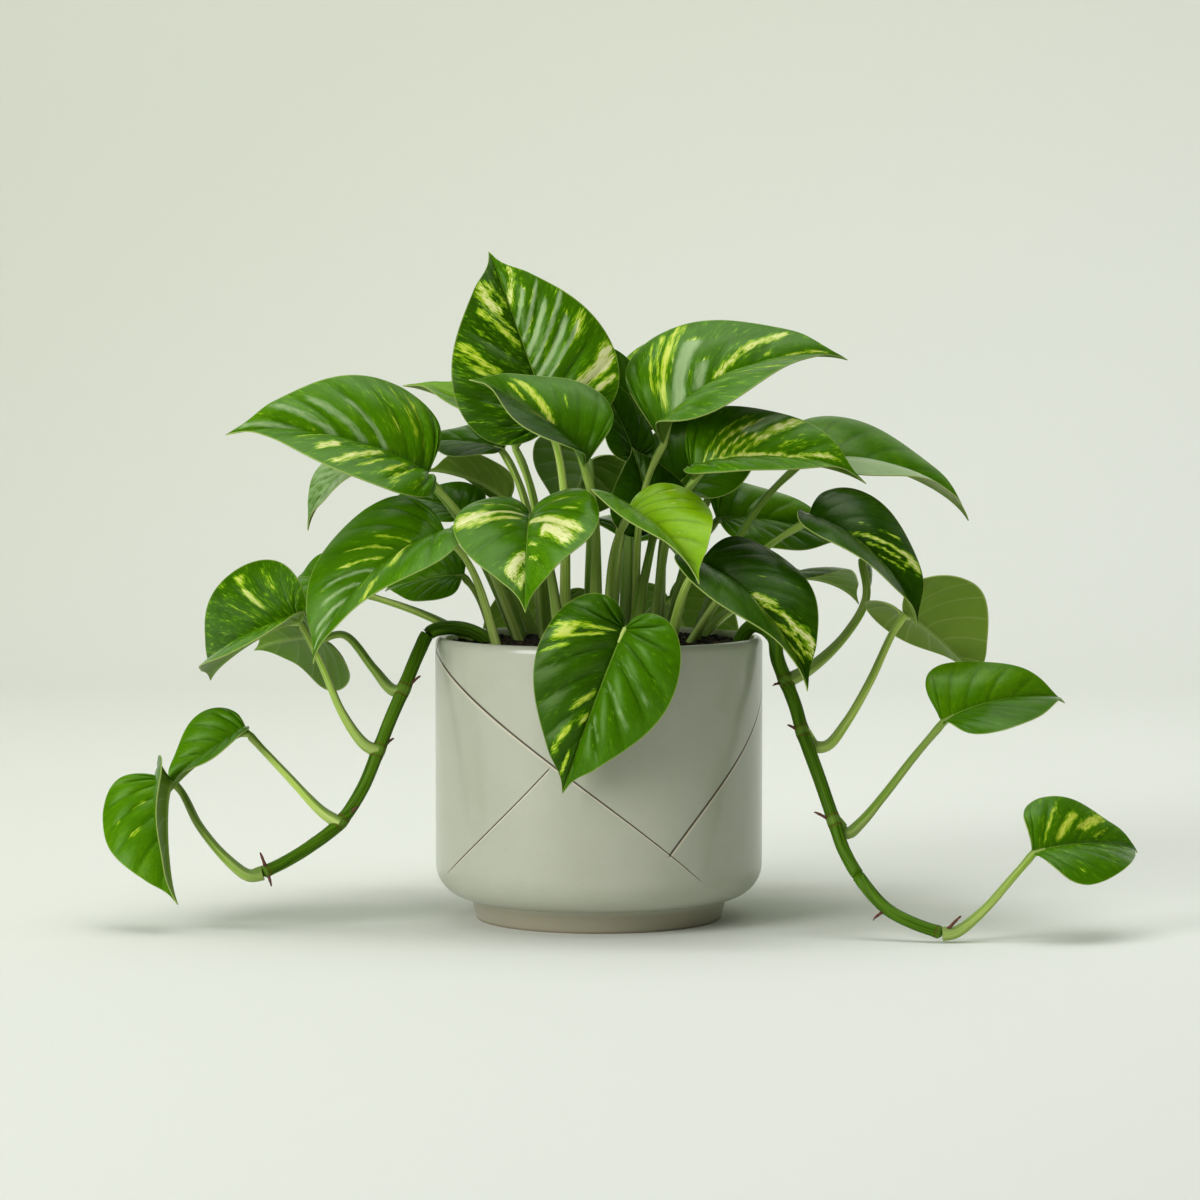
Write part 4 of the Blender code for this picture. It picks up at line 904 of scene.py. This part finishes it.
# Each stem, in millimetres: the points it runs through, its aerial roots (from, to) and its leaves, each with
# the points of its stalk, the last being the base of the blade, then tip, roll and the rest as above.
VINES = {
    "vine_left": (
        ((-41, -10, 108.5), (-45, -10, 120), (-52, -9, 129), (-61, -7, 133.1), (-71, -6, 133.6),
         (-77.5, -6, 131.3), (-82, -9, 123), (-89, -14, 106), (-95, -18, 92), (-100, -22, 79),
         (-107, -26, 62), (-117, -30, 47), (-130, -36, 37), (-142, -40, 30), (-151, -44, 26)),
        (((-89, -14, 106), (-81, -15, 112)), ((-100, -22, 79), (-93, -20, 84)),
         ((-117, -30, 47), (-109, -31, 54)), ((-149, -44, 27), (-152, -46, 35)),
         ((-149, -44, 27), (-147, -46, 20))),
        (
            (((-89, -14, 106), (-94, -12, 106), (-103, -5, 115), (-117, 2, 130), (-127, 6, 129)),
             (-163, 54, 119), 155, -10, 0.96, 20, 0.4, 4),
            (((-100, -22, 79), (-106, -22, 82), (-116, -22, 96), (-126, -24, 120), (-137, -26, 139)),
             (-181, 26, 107), 54, 42, 0.88, 20, 1.3, 4),
            (((-117, -30, 47), (-125, -29, 52), (-142, -25, 69), (-160, -20, 88)),
             (-196, -26, 58), 58, 26, 0.82, 26, 0.1, 4),
            (((-151, -44, 26), (-157, -44, 25), (-167, -42, 32), (-180, -35, 46), (-189, -24, 60),
              (-195, -26, 66)),
             (-188, -56, 13), -46, 40, 1, 20, 0.3, 4),
        ),
    ),
    "vine_right": (
        ((62, 4, 108.5), (63.5, 3, 120), (66, 1, 129.5), (70.5, -3, 134.5), (76.5, -9, 133),
         (80, -13, 128.5), (81, -15, 121), (85, -17, 110), (89, -24, 99), (92, -30, 88), (99, -42, 68),
         (105, -52, 50), (109, -58, 38), (116, -66, 26), (127, -74, 14), (139, -79, 8), (151, -82, 4.2)),
        (((85, -17, 110), (79, -20, 108)), ((92, -30, 88), (85, -31, 91)), ((105, -52, 50), (96, -53, 54)),
         ((127, -74, 14), (121, -77, 9)), ((152, -82, 4.5), (159, -86, 12))),
        (
            (((85, -17, 110), (97, -10, 116), (114, 8, 130), (124, 22, 146), (125, 34, 162)),
             (118, 84, 184), 110, 4, 0.8, 20, 0.3, 4),
            (((92, -30, 88), (97, -30, 82), (103, -29, 82), (112, -24, 92), (123, -18, 110),
              (134, -11, 132), (139, -8, 141)),
             (179, 20, 104), 140, 24, 1, 20, 0.8, 4),
            (((105, -52, 50), (111, -51, 45), (117, -48, 49), (127, -44, 60), (143, -36, 79),
              (155, -30, 94)),
             (215, 8, 98), 56, 12, 0.74, 40, 0, 4),
            (((151, -82, 4.2), (157, -82, 5), (169, -80, 14), (182, -77, 28), (192, -76, 40)),
             (243, -36, 34), 50, 8, 0.76, 34, 0, 4),
        ),
    ),
}


def smooth_path(points, count):
    """Points along a centripetal Catmull-Rom curve through the given ones: three steps of blending between
    neighbours, whose knots are spaced by the square root of their distance."""
    given = np.asarray(points, float)
    given = np.vstack([2 * given[0] - given[1], given, 2 * given[-1] - given[-2]])
    knots = np.concatenate([[0], np.cumsum(np.linalg.norm(np.diff(given, axis=0), axis=1) ** 0.5)])
    at = np.linspace(knots[1], knots[-2], count)
    first = np.clip(np.searchsorted(knots, at, side="right") - 1, 1, len(given) - 3)
    t = [knots[first + k][:, None] for k in (-1, 0, 1, 2)]
    p = [given[first + k] for k in (-1, 0, 1, 2)]
    at = at[:, None]

    def between(low, high, before, after):
        return ((after - at) * low + (at - before) * high) / (after - before)

    near = [between(p[k], p[k + 1], t[k], t[k + 1]) for k in range(3)]
    far = [between(near[k], near[k + 1], t[k], t[k + 2]) for k in range(2)]
    return between(far[0], far[1], t[1], t[2])


def trailing_stem(points, joints, number):
    """The stem: a round profile carried along its path, thicker by swell*exp(-(distance/reach)^2) at each
    joint. Its joint mark is that distance in metres, by which the scars are drawn."""
    path = smooth_path(points, STEM_RINGS)
    away = np.linalg.norm(path[:, None] - joints, axis=2).min(axis=1)
    joint = np.exp(-((away / JOINT_REACH) ** 2))
    radii = np.linspace(STEM_RADIUS, STEM_END_RADIUS, STEM_RINGS) * (BETWEEN_JOINTS + JOINT_SWELL * joint)
    radii[[0, -1]] *= ROUNDED_END
    rings, triangles, _, marks = stalk(path, radii, np.full(STEM_RINGS, STEM_CHANNEL), 0 * radii, number)
    marks["joint"] = np.repeat(away[[0, *range(STEM_RINGS), -1]], PETIOLE_SIDES + 1)
    return rings, triangles, 3, marks


def aerial_root(first, last, number):
    """A stubby root: a thin cone that bends a little down on its way out."""
    share = np.linspace(0, 1, ROOTLET_RINGS)
    path = bezier((first, (first + last) / 2, last + (0, 0, ROOTLET_BEND), last), share)
    radii = ROOTLET_RADIUS * (1.05 - 0.75 * share**1.5) * (1 + 0.12 * np.sin(share * 19 + number))
    rings, triangles, _, marks = stalk(path, radii, 0 * share, 0 * share, number)
    return rings, triangles, 4, marks


stem_skin, place, turn, _, fibres = round_face(
    "trailing_stem", 0.4, wrap=4, apart=0, along_scale=30, Specular_IOR_Level=0.15,
    Specular_Tint=(0.8, 1, 0.5, 1))
away = place.mark("joint")
ring = 1 - abs(away - 0.0026 + (place.noise(300) - 0.5) * 0.0012).rise(0.00015, 0.0006)
stem_green = layers(
    paint(40, 76, 0),
    (fibres.rise(0.3, 0.7), 84, 124, 18),
    (ring * 0.5, 104, 62, 34),
    ((1 - away.rise(0.0008, 0.0024)) * 0.35, 120, 150, 62),
)
coat(stem_skin, Base_Color=stem_green, Normal=(fibres - ring * 0.8).bump(0.6, 0.0004),
     Roughness=fibres * 0.2 + ring * 0.3 + 0.3)

root_bark, place = finish("aerial_root", 0.7)
rough = place.noise(900, 3, 0.6)
bark = layers(paint(60, 26, 18), (rough.rise(0.3, 0.7), 112, 62, 40))
coat(root_bark, Base_Color=bark, Normal=rough.bump(0.8, 0.0003), Roughness=rough * 0.3 + 0.5)

for number, (name, (points, rootlets, leaves)) in enumerate(VINES.items(), len(CROWN)):
    parts = [trailing_stem(metres(points), metres([spots[0] for spots, *_ in leaves]), number)]
    for spot, rootlet in enumerate(rootlets):
        parts.append(aerial_root(*metres(rootlet), number + spot))
    for joint, (spots, tip, *shape) in enumerate(leaves):
        leaf = metres(spots[-1]), metres(tip), *shape
        run = smooth_path((*metres(spots[:-1]), blade_foot(leaf)), VINE_PETIOLE_RINGS)
        path = np.vstack([run, sunk_end(leaf)])
        share = np.linspace(0, 1, len(path))
        radii = VINE_PETIOLE_RADIUS + (PETIOLE_TOP_RADIUS - VINE_PETIOLE_RADIUS) * share**1.5
        knee = VINE_KNEE_SWELL * np.exp(-(((share - KNEE_PLACE) / KNEE_REACH) ** 2))
        radii *= 1 + knee + BRANCH_SWELL * np.clip(1 - share / BRANCH_SHARE, 0, 1)
        radii[-1] = PETIOLE_END_RADIUS
        channel = CHANNEL * VINE_CHANNEL * np.clip(6 * (1 - share), 0, 1)
        parts.append(stalk(path, radii, channel, 0 * share, number + joint))
        parts.append(blade(leaf, number + 7 * joint, LOOKS[f"{name}_{joint}"]))
    piece = skin("pothos_" + name, parts, [upper_face, under_face, stalk_skin, stem_skin, root_bark])
    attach(piece, "root")
    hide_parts(name)
